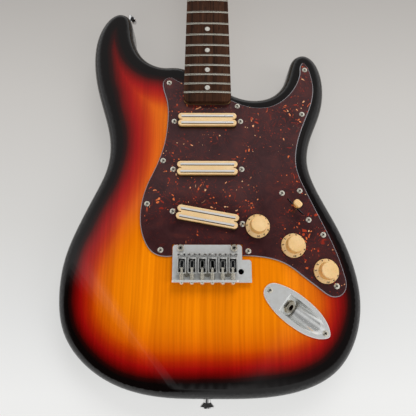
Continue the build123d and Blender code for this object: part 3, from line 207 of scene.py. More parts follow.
world = bpy.data.worlds.new("studio")
scene.world = world
world.use_nodes = True
tree = world.node_tree
tree.nodes.clear()
heading = add(tree, "TexCoord").outputs["Generated"]
walls = remap(tree, part_of(tree, heading, "Z"), 0.0, 0.6, 1.0, 0.62)
dark = 0.0
for direction, inner, outer, strength in DARK_AREAS.values():
    aim = Vector(direction).normalized()
    facing = add(tree, "VectorMath", {0: heading, 1: aim}, operation="DOT_PRODUCT").outputs["Value"]
    area = remap(tree, facing, outer, inner, interpolation_type="SMOOTHSTEP")
    dark = calc(tree, "MAXIMUM", dark, calc(tree, "MULTIPLY", area, strength))
left = calc(tree, "SUBTRACT", 1.0, calc(tree, "MULTIPLY", dark, DARKENED))
room = calc(tree, "MULTIPLY", walls, left)
camera_sees = add(tree, "LightPath").outputs["Is Camera Ray"]
sky = add(tree, "Background", {"Color": mix(tree, camera_sees, room, BACKDROP), "Strength": 1.0})
tree.links.new(sky.outputs[0], add(tree, "OutputWorld").inputs["Surface"])

# ---------------------------------------------------------------- body
# Three boards of alder glued side by side, routed and contoured, then sprayed: amber over the
# whole, red towards the rim, black at the rim itself, and a thick clear lacquer polished out.


def material(name, **shader):
    """A new material: its tree, and its Principled shader with the plain values set."""
    made = bpy.data.materials.new(name)
    made.use_nodes = True
    surface = made.node_tree.nodes["Principled BSDF"]
    for key, value in shader.items():
        socket = surface.inputs[key.replace("_", " ").title().replace("Ior", "IOR")]
        socket.default_value = (*value, 1) if isinstance(value, tuple) else value
    return made, made.node_tree, surface


def feed(tree, surface, **sockets):
    """Links patterns to the shader's sockets."""
    for key, socket in sockets.items():
        tree.links.new(socket, surface.inputs[key.replace("_", " ").title()])


def bump(tree, surface, height, distance):
    """Relief on the surface, as deep as distance where height is 1."""
    node = add(tree, "Bump", {"Height": height, "Distance": distance, "Strength": 1.0})
    tree.links.new(node.outputs[0], surface.inputs["Normal"])


def noise(tree, place, scale, detail, **more):
    """Cloudy noise from 0 to 1; more holds other inputs of the node, such as Distortion."""
    return add(
        tree, "TexNoise", {"Vector": place, "Scale": scale, "Detail": detail, **more}
    ).outputs["Fac"]


def node_group(name, inputs, outputs):
    """A shader node group with these number inputs and these outputs."""
    made = bpy.data.node_groups.new(name, "ShaderNodeTree")
    for title, value in inputs.items():
        socket = made.interface.new_socket(title, in_out="INPUT", socket_type="NodeSocketFloat")
        socket.default_value = value
    for title in outputs:
        made.interface.new_socket(title, in_out="OUTPUT", socket_type="NodeSocketFloat")
    return made, made.nodes.new("NodeGroupInput").outputs, made.nodes.new("NodeGroupOutput").inputs


def use(tree, group, **values):
    """A node group placed in a material, with its own values; gives the group's outputs."""
    node = tree.nodes.new("ShaderNodeGroup")
    node.node_tree = group
    for key, value in values.items():
        node.inputs[key.replace("_", " ").capitalize()].default_value = value
    return node.outputs


# Wood figure along Y: growth streaks, the wider bands they come in, and open pores.
wood_figure, given, out = node_group(
    "wood figure", {"Streaks": 900.0, "Bands": 60.0, "Pore": 1500.0}, ("Streak", "Band", "Pores")
)
spot = object_point(wood_figure)
drawn = add(wood_figure, "Mapping", {"Vector": spot, "Scale": (1.0, 0.02, 0.35)}).outputs[0]
wander = calc(wood_figure, "MULTIPLY", noise(wood_figure, spot, 9.0, 1.0), 0.008)
aside = add(wood_figure, "CombineXYZ", {"X": wander}).outputs[0]
swayed = add(wood_figure, "VectorMath", {0: drawn, 1: aside}, operation="ADD").outputs[0]
short = add(wood_figure, "Mapping", {"Vector": spot, "Scale": (1.0, 0.07, 1.0)}).outputs[0]
pore = noise(wood_figure, short, given["Pore"], 0.0)
wood_figure.links.new(noise(wood_figure, swayed, given["Streaks"], 3.0), out["Streak"])
wood_figure.links.new(noise(wood_figure, swayed, given["Bands"], 2.0), out["Band"])
wood_figure.links.new(remap(wood_figure, pore, 0.62, 0.72), out["Pores"])

# Handling: a finish is never evenly smooth, and hands leave faint smears and fine hairlines.
handling, given, out = node_group(
    "handling", {"Scale": 60.0, "Smooth": 0.1, "Rough": 0.3, "Hairlines": 0.0}, ("Roughness", "Height")
)
spot = object_point(handling)
smear = noise(handling, spot, given["Scale"], 5.0, Roughness=0.6)
spread = remap(handling, smear, 0.3, 0.7, given["Smooth"], given["Rough"])
turned = add(
    handling, "Mapping", {"Vector": spot, "Rotation": (0.2, 0.1, 0.7), "Scale": (3.0, 90.0, 30.0)}
).outputs[0]
line = remap(handling, noise(handling, turned, 60.0, 2.0), 0.62, 0.7)
height = calc(handling, "MULTIPLY", line, given["Hairlines"])
handling.links.new(calc(handling, "MULTIPLY_ADD", height, 0.15, spread), out["Roughness"])
handling.links.new(height, out["Height"])

# The burst: tint against distance from the outline, as a share of BURST_REACH.
BURST_REACH = 0.100
BURST = (
    (0.00, (0.0025, 0.0020, 0.0020)), (0.125, (0.0030, 0.0015, 0.0015)),
    (0.165, (0.022, 0.0014, 0.0012)), (0.21, (0.150, 0.0014, 0.0012)),
    (0.27, (0.330, 0.0040, 0.0030)), (0.33, (0.440, 0.018, 0.0020)),
    (0.39, (0.560, 0.052, 0.0010)), (0.45, (0.700, 0.115, 0.0010)),
    (0.54, (0.800, 0.175, 0.0012)), (0.66, (0.880, 0.222, 0.0015)),
    (0.80, (0.930, 0.252, 0.0016)), (1.00, (0.935, 0.252, 0.0016)),
)
OUTLINE_AT = 0.62  # the share of the body's thickness at which its outline is taken
OUTLINE_STEP = 0.001
LONG_EDGE = 0.008
LONG_EDGE_ROUNDS = 5
MERGE_GAP = 2e-6


def merged_copy(node):
    """A bmesh of a frame node with its loose triangles joined."""
    bm = bmesh.new()
    bm.from_mesh(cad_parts[node].data)
    bmesh.ops.remove_doubles(bm, verts=bm.verts, dist=MERGE_GAP)
    return bm


def longest_outline(bm, height):
    """Cuts a mesh along a level plane and gives the edges of the longest loop on it."""
    cut = bmesh.ops.bisect_plane(
        bm, geom=bm.verts[:] + bm.edges[:] + bm.faces[:], plane_co=(0, 0, height), plane_no=(0, 0, 1)
    )["geom_cut"]
    left = {item for item in cut if isinstance(item, bmesh.types.BMEdge)}
    loops = []
    while left:
        loop, front = [], [left.pop()]
        while front:
            edge = front.pop()
            loop.append(edge)
            near = {other for vert in edge.verts for other in vert.link_edges} & left
            left -= near
            front.extend(near)
        loops.append(loop)
    return max(loops, key=lambda loop: sum(edge.calc_length() for edge in loop))


def finished(name, bm, body, slot, *materials, replaces=(), sharp=40.0):
    """The piece made from a bmesh: smooth but for its sharp edges, and on its body; slot is not used."""
    for edge in bm.edges:
        edge.smooth = len(edge.link_faces) != 2 or edge.calc_face_angle(0) < radians(sharp)
    for face in bm.faces:
        face.smooth = True
    piece = bpy.data.objects.new(name, bpy.data.meshes.new(name))
    bm.to_mesh(piece.data)
    bm.free()
    scene.collection.objects.link(piece)
    for made in materials:
        piece.data.materials.append(made)
    if body:
        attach(piece, body)
    if replaces:
        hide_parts(*replaces)
    return piece


bm = merged_copy("body")
low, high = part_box("body")
section = bm.copy()
outline_points = []
for edge in longest_outline(section, low.z + OUTLINE_AT * (high.z - low.z)):
    start, end = (Vector((vert.co.x, vert.co.y, 0.0)) for vert in edge.verts)
    steps = max(1, round(edge.calc_length() / OUTLINE_STEP))
    outline_points += [start.lerp(end, step / steps) for step in range(steps + 1)]
section.free()
outline = KDTree(len(outline_points))
for index, point in enumerate(outline_points):
    outline.insert(point, index)
outline.balance()

for _ in range(LONG_EDGE_ROUNDS):
    long_edges = [edge for edge in bm.edges if edge.calc_length() > LONG_EDGE]
    bmesh.ops.subdivide_edges(bm, edges=long_edges, cuts=1)
    bmesh.ops.triangulate(bm, faces=[face for face in bm.faces if len(face.verts) > 3])
inset = bm.verts.layers.float.new("inset")
for vert in bm.verts:
    vert[inset] = outline.find(Vector((vert.co.x, vert.co.y, 0.0)))[2] / BURST_REACH

lacquer, tree, surface = material(
    "sunburst lacquer", coat_weight=1.0, coat_roughness=0.02, specular_ior_level=0.0
)
depth = add(tree, "Attribute", attribute_name="inset").outputs["Fac"]
spot = object_point(tree)
across, along = (part_of(tree, spot, axis) for axis in "XY")
drift = calc(tree, "MULTIPLY_ADD", noise(tree, spot, 14.0, 2.0), 0.06, -0.03)
# Painted shade: towards the neck the burst is drawn further in from the rim, darkening the body there as
# if less light reached it.
neck_end_shade = remap(tree, along, -0.02, 0.20, 1.0, 0.72)
tail = remap(tree, along, -0.05, -0.14, 0.0, 0.065)
treble = remap(tree, across, -0.05, 0.05)
spray_and_shade = calc(tree, "MULTIPLY_ADD", depth, neck_end_shade, drift)
sprayed_and_shaded = calc(tree, "SUBTRACT", spray_and_shade, calc(tree, "MULTIPLY", tail, treble))
burst = ramp(tree, sprayed_and_shaded, BURST)
figure = use(tree, wood_figure, streaks=420.0, bands=95.0)
board = ramp(tree, figure["Band"], ((0.3, (0.80, 0.74, 0.7)), (0.7, (1.06, 1.08, 1.0))))
vein = ramp(tree, figure["Streak"], ((0.35, (0.86, 0.80, 0.72)), (0.6, (1.02, 1.02, 1.0))))
wood = mix(tree, 0.85, mix(tree, 0.8, burst, board, "MULTIPLY"), vein, "MULTIPLY")
marks = use(tree, handling, scale=30.0, smooth=0.30, rough=0.42)
feed(tree, surface, base_color=wood, roughness=marks["Roughness"])
body = finished("lacquered_body", bm, "guitar", "sunburst_wood", lacquer, replaces=["body"])
weighted = body.modifiers.new("even shading", "WEIGHTED_NORMAL")
weighted.keep_sharp = True
weighted.weight = 100

# ---------------------------------------------------------------- neck
# A maple neck with a rosewood board glued on, 21 nickel-silver frets, pearl dots and a bone nut.
# Its heel drops into the pocket and four long screws hold it.


def dress(made, *nodes):
    """Gives frame nodes this finish."""
    for node in nodes:
        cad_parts[node].data.materials.clear()
        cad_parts[node].data.materials.append(made)


# The heel's end grain, which faces the tail, soaks up the stain; every face towards the tail is also
# painted nearly black as painted shade.
maple, tree, surface = material("oiled maple", coat_weight=0.35, coat_roughness=0.18)
figure = use(tree, wood_figure, streaks=700.0, bands=120.0)
warm = ramp(tree, figure["Band"], ((0.25, (0.60, 0.34, 0.13)), (0.75, (0.74, 0.47, 0.21))))
vein = ramp(tree, figure["Streak"], ((0.35, (0.78, 0.70, 0.6)), (0.62, (1.0, 1.0, 1.0))))
marks = use(tree, handling, scale=45.0, smooth=0.28, rough=0.46)
facing = part_of(tree, add(tree, "NewGeometry").outputs["Normal"], "Y")
end_grain_and_shade = remap(tree, facing, -0.5, -0.9, 0.0, 0.9)
stained_and_shaded = mix(tree, end_grain_and_shade, mix(tree, 0.7, warm, vein, "MULTIPLY"), (0.035, 0.016, 0.008))
feed(tree, surface, base_color=stained_and_shaded, roughness=marks["Roughness"])
dress(maple, "neck")

rosewood, tree, surface = material("rosewood", specular_ior_level=0.12)
figure = use(tree, wood_figure, streaks=520.0, bands=150.0, pore=1500.0)
brown = ramp(
    tree, figure["Band"],
    ((0.25, (0.020, 0.009, 0.005)), (0.5, (0.042, 0.017, 0.009)), (0.75, (0.070, 0.030, 0.015))),
)
vein = ramp(tree, figure["Streak"], ((0.35, (0.45, 0.40, 0.38)), (0.65, (1.35, 1.3, 1.25))))
veined = mix(tree, 0.75, brown, vein, "MULTIPLY")
pored = mix(tree, calc(tree, "MULTIPLY", figure["Pores"], 0.7), veined, (0.012, 0.006, 0.004))
marks = use(tree, handling, scale=80.0, smooth=0.42, rough=0.62)
feed(tree, surface, base_color=pored, roughness=marks["Roughness"])
bump(tree, surface, calc(tree, "MULTIPLY", figure["Pores"], -1.0), 0.00012)
dress(rosewood, "fretboard")


def metal(name, tone, smooth, rough, scale=120.0, hairlines=0.2, stain=0.12, relief=0.00001, bare=1.0):
    """A metal finish: an even tone, clouded a little, with handling marks in the polish."""
    made, tree, surface = material(name, metallic=bare)
    cloud = noise(tree, object_point(tree), scale, 3.0)
    dull = tuple(channel * (1 - stain * grade) for channel, grade in zip(tone, (1.0, 1.15, 1.45)))
    clouded = ramp(tree, cloud, ((0.35, dull), (0.65, tone)))
    marks = use(tree, handling, scale=scale * 1.7, smooth=smooth, rough=rough, hairlines=hairlines)
    feed(tree, surface, base_color=clouded, roughness=marks["Roughness"])
    bump(tree, surface, marks["Height"], relief)
    return made


fret_wire = metal("nickel silver fret wire", (0.78, 0.75, 0.66), 0.18, 0.30, 200.0)
dress(fret_wire, "frets")

pearl, tree, surface = material("pearl dots", coat_weight=0.6, coat_roughness=0.1)
sheen = ramp(
    tree, noise(tree, object_point(tree), 420.0, 3.0, Distortion=1.6),
    ((0.3, (0.34, 0.32, 0.28)), (0.5, (0.48, 0.46, 0.41)), (0.7, (0.58, 0.57, 0.53))),
)
marks = use(tree, handling, scale=150.0, smooth=0.2, rough=0.35)
feed(tree, surface, base_color=sheen, roughness=marks["Roughness"])
dress(pearl, "fret_markers")

bone, tree, surface = material("bone nut", subsurface_weight=0.08, subsurface_scale=0.002)
fibre = noise(tree, object_point(tree), 600.0, 4.0)
aged = ramp(tree, fibre, ((0.3, (0.72, 0.64, 0.48)), (0.7, (0.84, 0.79, 0.66))))
marks = use(tree, handling, scale=200.0, smooth=0.28, rough=0.45)
feed(tree, surface, base_color=aged, roughness=marks["Roughness"])
dress(bone, "nut")

steel = metal("plain steel", (0.50, 0.50, 0.50), 0.30, 0.48, 160.0)
dress(steel, "truss_rod")

# ---------------------------------------------------------------- headstock hardware
# Six closed tuners, pressed housings on the back and threaded bushings on the face, and two
# string trees.  Everything is chromed.

STRINGS = range(1, 7)
chrome = metal("chrome plate", (0.86, 0.86, 0.87), 0.05, 0.14, 90.0, hairlines=0.1, stain=0.05)
dress(
    chrome, "string_trees", "tuner_housings", "tuner_bushings",
    *(f"tuner_{part}_{number}" for part in ("post", "button") for number in STRINGS),
)

# ---------------------------------------------------------------- pickguard
# A laminate cut with a bevelled rim: printed tortoiseshell on top, then white, black and white.

# The plies from the back to the face: where each starts, as a share of the guard's thickness.
TOP_PLY = 0.90
PLIES = (
    (0.0, (0.34, 0.33, 0.33)), (0.36, (0.02, 0.02, 0.022)), (0.52, (0.27, 0.26, 0.28)),
    (TOP_PLY, (0.03, 0.008, 0.008)),
)
guard_low, guard_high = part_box("pickguard")
tortoise, tree, surface = material(
    "tortoiseshell laminate", coat_weight=0.9, coat_roughness=0.04, specular_ior_level=0.1
)
spot = object_point(tree)
flow = add(tree, "TexNoise", {"Vector": spot, "Scale": 55.0, "Detail": 2.0}).outputs["Color"]
bent = add(
    tree, "VectorMath", {0: flow, 1: (0.022, 0.022, 0.0), 2: spot}, operation="MULTIPLY_ADD"
).outputs[0]
ground = ramp(
    tree, noise(tree, bent, 38.0, 5.0, Roughness=0.65),
    ((0.30, (0.030, 0.010, 0.011)), (0.52, (0.047, 0.016, 0.017)), (0.72, (0.088, 0.022, 0.019))),
)

# Red wisps and brighter flakes gather in drifts, and more of them on the treble side.
gather = noise(tree, spot, 21.0, 2.0)
east = remap(tree, part_of(tree, spot, "X"), 0.03, 0.10, 0.0, 0.09)
crowd = remap(tree, calc(tree, "ADD", gather, east), 0.34, 0.62)
wisp = ramp(tree, noise(tree, bent, 330.0, 2.0, Distortion=1.4), ((0.58, 0.0), (0.68, 1.0)))
wisps = calc(tree, "MULTIPLY", calc(tree, "MULTIPLY", wisp, crowd), 0.8)
streaked = mix(tree, wisps, ground, (0.16, 0.018, 0.010))
cells = add(tree, "TexVoronoi", {"Vector": bent, "Scale": 290.0, "Randomness": 1.0}).outputs
lot = add(tree, "SeparateColor", {0: cells["Color"]}).outputs
limit = calc(tree, "MULTIPLY", calc(tree, "MULTIPLY", lot["Red"], crowd), 0.46)
flake = remap(tree, calc(tree, "SUBTRACT", limit, cells["Distance"]), 0.0, 0.10)
glint = ramp(
    tree, lot["Green"],
    (
        (0.0, (0.20, 0.016, 0.010)), (0.50, (0.42, 0.045, 0.016)),
        (0.82, (0.75, 0.17, 0.045)), (0.98, (0.85, 0.50, 0.27)),
    ),
)
level = remap(tree, part_of(tree, spot, "Z"), guard_low.z, guard_high.z)
plies = ramp(tree, level, PLIES, "CONSTANT")
printed = mix(tree, calc(tree, "GREATER_THAN", level, TOP_PLY), plies, mix(tree, flake, streaked, glint))
marks = use(tree, handling, scale=25.0, smooth=0.16, rough=0.30, hairlines=0.1)
feed(tree, surface, base_color=printed, roughness=marks["Roughness"])
dress(tortoise, "pickguard")

# ---------------------------------------------------------------- pickups
# Three pickups, each a cream cover moulded as two round-ended bars with a steel rail in each.


def cream_plastic(name, pale, deep, shaded):
    """Cream plastic gone yellow with age and dusty, with painted shade near black at the lower of the two
    heights of shaded, fading out by the higher, and on its walls.
    """
    made, tree, surface = material(
        name, subsurface_weight=0.06, subsurface_scale=0.003, specular_ior_level=0.45
    )
    spot = object_point(tree)
    yellowed = ramp(tree, noise(tree, spot, 75.0, 4.0), ((0.3, deep), (0.7, pale)))
    dusty = ramp(tree, noise(tree, spot, 900.0, 2.0), ((0.30, 0.90), (0.5, 1.0)))
    # Painted shade: near black at the lower of the shaded heights, fading out by the higher.
    foot = remap(tree, part_of(tree, spot, "Z"), shaded[0], shaded[1])
    shade = ramp(tree, foot, ((0.0, (0.015, 0.008, 0.004)), (1.0, 1.0)))
    # Painted shade: walls that stand up are painted darker and more orange than the top faces.
    upright = part_of(tree, add(tree, "NewGeometry").outputs["Normal"], "Z")
    steep_wall_shade = remap(tree, upright, 0.75, 0.35, 0.0, 0.8)
    walls = tuple(channel * share for channel, share in zip(deep, (1.0, 0.80, 0.45)))
    aged = mix(tree, 1.0, mix(tree, steep_wall_shade, yellowed, walls), dusty, "MULTIPLY")
    marks = use(tree, handling, scale=110.0, smooth=0.26, rough=0.42, hairlines=0.15)
    # The painted shade at the foot is laid over the colour here.
    worn = mix(tree, 1.0, aged, shade, "MULTIPLY")
    feed(tree, surface, base_color=worn, roughness=marks["Roughness"])
    bump(tree, surface, marks["Height"], 0.00002)
    return made


PICKUPS = ("neck", "middle", "bridge")
cover_cream = cream_plastic(
    "aged cream covers", (0.83, 0.60, 0.34), (0.76, 0.52, 0.26), (0.0495, 0.0533)
)
rail_steel = metal(
    "ground steel rails", (0.80, 0.78, 0.76), 0.26, 0.36, 40.0, hairlines=0.05, stain=0.06, bare=0.3
)
dress(cover_cream, *(f"{name}_pickup_cover" for name in PICKUPS))
dress(rail_steel, *(f"{name}_pickup_rails" for name in PICKUPS))

# Each rail stands in a slot; a thin dark strip laid on the cover along one side of it is painted shadow,
# the dark line in the gap beside the rail.
rail_gap_shadow, tree, surface = material("painted shadow in the rail slots")
shadow_mottle = noise(tree, object_point(tree), 900.0, 3.0)
slot_shadow = ramp(tree, shadow_mottle, ((0.3, (0.030, 0.018, 0.010)), (0.7, (0.10, 0.065, 0.035))))
marks = use(tree, handling, scale=400.0, smooth=0.6, rough=0.8)
feed(tree, surface, base_color=slot_shadow, roughness=marks["Roughness"])

GAP_W = 0.0009
GAP_RISE = 0.00006
GAP_OFFSET = 0.00145
END_DEPTH = 0.0006  # how far a turned rail's end face may reach along X


def loose_solids(bm):
    """The vertices of each separate solid of a mesh, in the mesh's own order."""
    bm.verts.index_update()
    solids, taken = [], set()
    for first in bm.verts:
        if first in taken:
            continue
        taken.add(first)
        solid, front = [], [first]
        while front:
            vert = front.pop()
            solid.append(vert)
            near = {edge.other_vert(vert) for edge in vert.link_edges} - taken
            taken |= near
            front.extend(near)
        solids.append(sorted(solid, key=lambda vert: vert.index))
    return solids


for name in PICKUPS:
    rails = merged_copy(f"{name}_pickup_rails")
    cover_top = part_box(f"{name}_pickup_cover")[1].z
    gaps = bmesh.new()
    for solid in loose_solids(rails):
        ends = []
        for extreme in (min(vert.co.x for vert in solid), max(vert.co.x for vert in solid)):
            near = [vert.co for vert in solid if abs(vert.co.x - extreme) < END_DEPTH]
            ends.append(sum(near, Vector()) / len(near))
        left_end, right_end = ends
        along = (right_end - left_end).xy
        middle = (left_end + right_end) / 2
        place = (
            Matrix.Translation((middle.x, middle.y, cover_top))
            @ Matrix.Rotation(atan2(along.y, along.x), 4, "Z")
            @ Matrix.Translation((0, -GAP_OFFSET, 0))
        )
        scale = Matrix.Diagonal((along.length - GAP_W, GAP_W, 2 * GAP_RISE, 1))
        bmesh.ops.create_cube(gaps, size=1.0, matrix=place @ scale)
    rails.free()
    finished(f"{name}_rail_gaps", gaps, f"{name}_pickup", "black_plastic", rail_gap_shadow)

# ---------------------------------------------------------------- controls
# Three pots with cream skirted knobs, printed 1 to 10 round the skirt, and a five-way selector
# whose flat steel lever carries a cream tip.

KNOBS = ("volume", "tone_1", "tone_2")
knob_cream = cream_plastic(
    "aged cream knobs", (0.86, 0.60, 0.31), (0.79, 0.51, 0.22), (0.0480, 0.0496)
)
dress(knob_cream, *(f"{name}_knob" for name in KNOBS), "selector_tip")
dress(steel, "control_pots", "selector_switch", "selector_lever")

print_ink, tree, surface = material("worn dial print")
rub = noise(tree, object_point(tree), 1600.0, 2.0)
ink = ramp(tree, rub, ((0.35, (0.012, 0.008, 0.006)), (0.85, (0.08, 0.05, 0.03))))
marks = use(tree, handling, scale=300.0, smooth=0.4, rough=0.6)
feed(tree, surface, base_color=ink, roughness=marks["Roughness"])

NUMBERS = 10
FIRST_TURN = -60.0
NUMBER_SPAN = 300.0
NUMBER_HEIGHT = 0.0034
NUMBER_WEIGHT = 0.00011
CURVE_STEPS = 3
INK = 0.00006
SKIRT_OUT = 0.0116  # the middle of the skirt, from the knob's axis
SKIRT_DOWN = 0.01088  # and below the knob's top
SKIRT_SLOPE = 46.0


def worked_out(holder):
    """A bmesh of an object with its text or its modifiers worked out; the object is removed."""
    bpy.context.view_layer.update()
    settled = holder.evaluated_get(bpy.context.evaluated_depsgraph_get())
    mesh = bpy.data.meshes.new_from_object(settled)
    bpy.data.objects.remove(holder)
    bm = bmesh.new()
    bm.from_mesh(mesh)
    bpy.data.meshes.remove(mesh)
    return bm


def printed_number(number):
    """A number as a thin solid of ink, its middle at the origin."""
    text = bpy.data.curves.new("number", "FONT")
    text.body = str(number)
    text.size = NUMBER_HEIGHT
    text.offset = NUMBER_WEIGHT
    text.align_x = text.align_y = "CENTER"
    text.resolution_u = CURVE_STEPS
    holder = bpy.data.objects.new("number", text)
    scene.collection.objects.link(holder)
    glyph = worked_out(holder)
    top = bmesh.ops.extrude_face_region(glyph, geom=glyph.faces[:])["geom"]
    raised = [item for item in top if isinstance(item, bmesh.types.BMVert)]
    bmesh.ops.translate(glyph, vec=(0, 0, INK), verts=raised)
    return glyph


for knob in KNOBS:
    low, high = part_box(f"{knob}_knob")
    centre = (low + high) / 2
    dial = bmesh.new()
    for number in range(1, NUMBERS + 1):
        turn = radians(FIRST_TURN - NUMBER_SPAN * (number - 1) / (NUMBERS - 1))
        glyph = printed_number(number)
        bmesh.ops.transform(
            glyph, verts=glyph.verts,
            matrix=Matrix.Translation((centre.x, centre.y, 0)) @ Matrix.Rotation(turn, 4, "Z")
            @ Matrix.Translation((0, -SKIRT_OUT, high.z - SKIRT_DOWN))
            @ Matrix.Rotation(radians(SKIRT_SLOPE), 4, "X"),
        )
        joined = bpy.data.meshes.new("glyph")
        glyph.to_mesh(joined)
        glyph.free()
        dial.from_mesh(joined)
        bpy.data.meshes.remove(joined)
    finished(f"{knob}_numbers", dial, f"{knob}_control", "black_plastic", print_ink)

# ---------------------------------------------------------------- bridge
# A plate of bent steel rocking on two studs, six cast saddles on it, each with its grub screws and
# intonation screw, and the zinc block below that the springs pull on.

satin = metal(
    "satin chrome plate", (0.80, 0.81, 0.80), 0.30, 0.40, 300.0, hairlines=0.5, stain=0.05, bare=0.45
)
dress(satin, "bridge_plate")
nickel = metal("nickel screws", (0.80, 0.76, 0.66), 0.16, 0.30, 300.0, bare=0.75)
dress(nickel, "block_screws", "intonation_screws")
saddle_steel = metal(
    "plated saddles", (0.93, 0.93, 0.90), 0.10, 0.20, 260.0, hairlines=0.3, stain=0.05, bare=0.8
)
# Painted shade: a near-black finish laid on each saddle's slot floor, over its string hole, round its
# grub screws and in their sockets.
pit, tree, surface = material("painted shade in a saddle's pits", metallic=0.4)
shade_mottle = noise(tree, object_point(tree), 1200.0, 2.0)
pit_shade = ramp(tree, shade_mottle, ((0.3, (0.006, 0.007, 0.009)), (0.7, (0.022, 0.024, 0.028))))
marks = use(tree, handling, scale=500.0, smooth=0.35, rough=0.6)
feed(tree, surface, base_color=pit_shade, roughness=marks["Roughness"])
PLATED, PIT = 0, 1

# Heights are above the tips of the grub screws, which stand on the plate.  The nose, the floor's
# front end and the string hole are placed by their distance behind the saddle's front.
FOOT = 0.0010
NOSE_L, NOSE_ROUND = 0.0060, 0.0008
WALL_T, WALL_ROUND, WALL_DROP = 0.0010, 0.0002, 0.0010
WALL_LAP = 0.0004  # the side walls run this far into the nose
SET_IN = 0.0006  # how far the floor and the side walls start inside the casting's faces
REAR_T, REAR_TOP = 0.0011, 0.0046
FLOOR_LOW, FLOOR_TOP, FLOOR_BACK = 0.0011, 0.0016, 0.0050
HOLE_BACK, HOLE_HALF, HOLE_SIDES = 0.0118, 0.0026, 24
HOLE_RINGS = (  # the radius and height of its collar, from the outside over the top to the pit
    (0.0024, 0.0015), (0.0024, 0.0046), (0.0016, 0.0046), (0.0014, 0.0017),
)
GRUB_OFFSET, GRUB_Y, GRUB_R = 0.0029, 0.0012, 0.00125
GRUB_ABOVE, GRUB_SUNK, GRUB_ROUND = 0.0007, 0.002, 0.0002
PIT_RING, PIT_SUNK, PIT_RISE = 0.00045, 0.0002, 0.00005  # the dark ring round a grub screw, painted shade in its gap
SOCKET_R, SOCKET_SUNK, SOCKET_RISE, SOCKET_SIDES = 0.00085, 0.0001, 0.00002, 6


def block(bm, low, high, finish, bevel=0.0):
    """A box between two corners, with this finish and its edges bevelled."""
    made = bmesh.ops.create_cube(bm, size=1.0)["verts"]
    low, high = Vector(low), Vector(high)
    bmesh.ops.scale(bm, vec=high - low, verts=made)
    bmesh.ops.translate(bm, vec=(low + high) / 2, verts=made)
    for face in {face for vert in made for face in vert.link_faces}:
        face.material_index = finish
    if bevel:
        edges = {edge for vert in made for edge in vert.link_edges}
        bmesh.ops.bevel(bm, geom=list(edges), offset=bevel, segments=2, affect="EDGES", profile=0.5)


def joined_rings(bm, rings, finish, cap_finish):
    """Closed rings of vertices, each bridged to the next, with a cap on the last."""
    for pair in zip(rings, rings[1:]):
        edges = [
            edge for ring in pair for edge in {edge for vert in ring for edge in vert.link_edges}
            if all(vert in ring for vert in edge.verts)
        ]
        for face in bmesh.ops.bridge_loops(bm, edges=edges)["faces"]:
            face.material_index = finish
    bm.faces.new(rings[-1]).material_index = cap_finish


def disc_stack(bm, centre, radii_heights, finish, sides=20):
    """A turned stack: rings of (radius, height) joined from bottom to top and closed."""
    rings = []
    for radius, height in radii_heights:
        ring = bmesh.ops.create_circle(bm, cap_ends=False, segments=sides, radius=radius)["verts"]
        bmesh.ops.translate(bm, vec=Vector((centre[0], centre[1], height)), verts=ring)
        rings.append(ring)
    joined_rings(bm, rings, finish, finish)


def cast_saddle(low, high):
    """A saddle with its nose, side walls, rear wall, string hole and two grub screws."""
    middle = (low.x + high.x) / 2
    top = high.z - GRUB_ABOVE
    foot = low.z + FOOT
    bm = bmesh.new()
    block(bm, (low.x, high.y - NOSE_L, foot), (high.x, high.y, top), PLATED, NOSE_ROUND)
    for left in (low.x, high.x - WALL_T):
        block(
            bm, (left, low.y + SET_IN, foot),
            (left + WALL_T, high.y - NOSE_L + WALL_LAP, top - WALL_DROP), PLATED, WALL_ROUND,
        )
    block(bm, (low.x, low.y, foot), (high.x, low.y + REAR_T, low.z + REAR_TOP), PLATED, WALL_ROUND)
    # The slot's floor is a dark plate: painted shade.
    block(
        bm, (low.x + SET_IN, low.y + SET_IN, low.z + FLOOR_LOW),
        (high.x - SET_IN, high.y - FLOOR_BACK, low.z + FLOOR_TOP), PIT,
    )
    rings = []
    for radius, height in HOLE_RINGS:
        ring = bmesh.ops.create_circle(bm, cap_ends=False, segments=HOLE_SIDES, radius=radius)["verts"]
        for vert in ring:
            vert.co.y += HOLE_HALF if vert.co.y > 0 else -HOLE_HALF
        bmesh.ops.translate(bm, vec=(middle, high.y - HOLE_BACK, low.z + height), verts=ring)
        rings.append(ring)
    # The string hole is closed by a dark cap: painted shade.
    joined_rings(bm, rings, PLATED, PIT)
    for side in (-1, 1):
        centre = (middle + side * GRUB_OFFSET, GRUB_Y)
        pit_r = GRUB_R + PIT_RING
        # A dark disc under each grub screw shows as a ring round it: painted shade.
        disc_stack(bm, centre, ((pit_r, top - PIT_SUNK), (pit_r, top + PIT_RISE)), PIT)
        screw = (
            (GRUB_R, top - GRUB_SUNK), (GRUB_R, high.z - GRUB_ROUND),
            (GRUB_R - GRUB_ROUND, high.z), (SOCKET_R, high.z),
        )
        disc_stack(bm, centre, screw, PLATED)
        # The socket is a dark disc on the screw's top: painted shade.
        socket = ((SOCKET_R, high.z - SOCKET_SUNK), (SOCKET_R, high.z + SOCKET_RISE))
        disc_stack(bm, centre, socket, PIT, SOCKET_SIDES)
    bmesh.ops.recalc_face_normals(bm, faces=bm.faces)
    return bm


# A light coil spring on each intonation screw, from the plate's rear lip, keeps the saddle forward.
SPRING_R = 0.0021
SPRING_WIRE, WIRE_SIDES = 0.00032, 6
SPRING_TURNS = 5.0
STEPS_PER_TURN = 14
LIP_FRONT = -0.0238


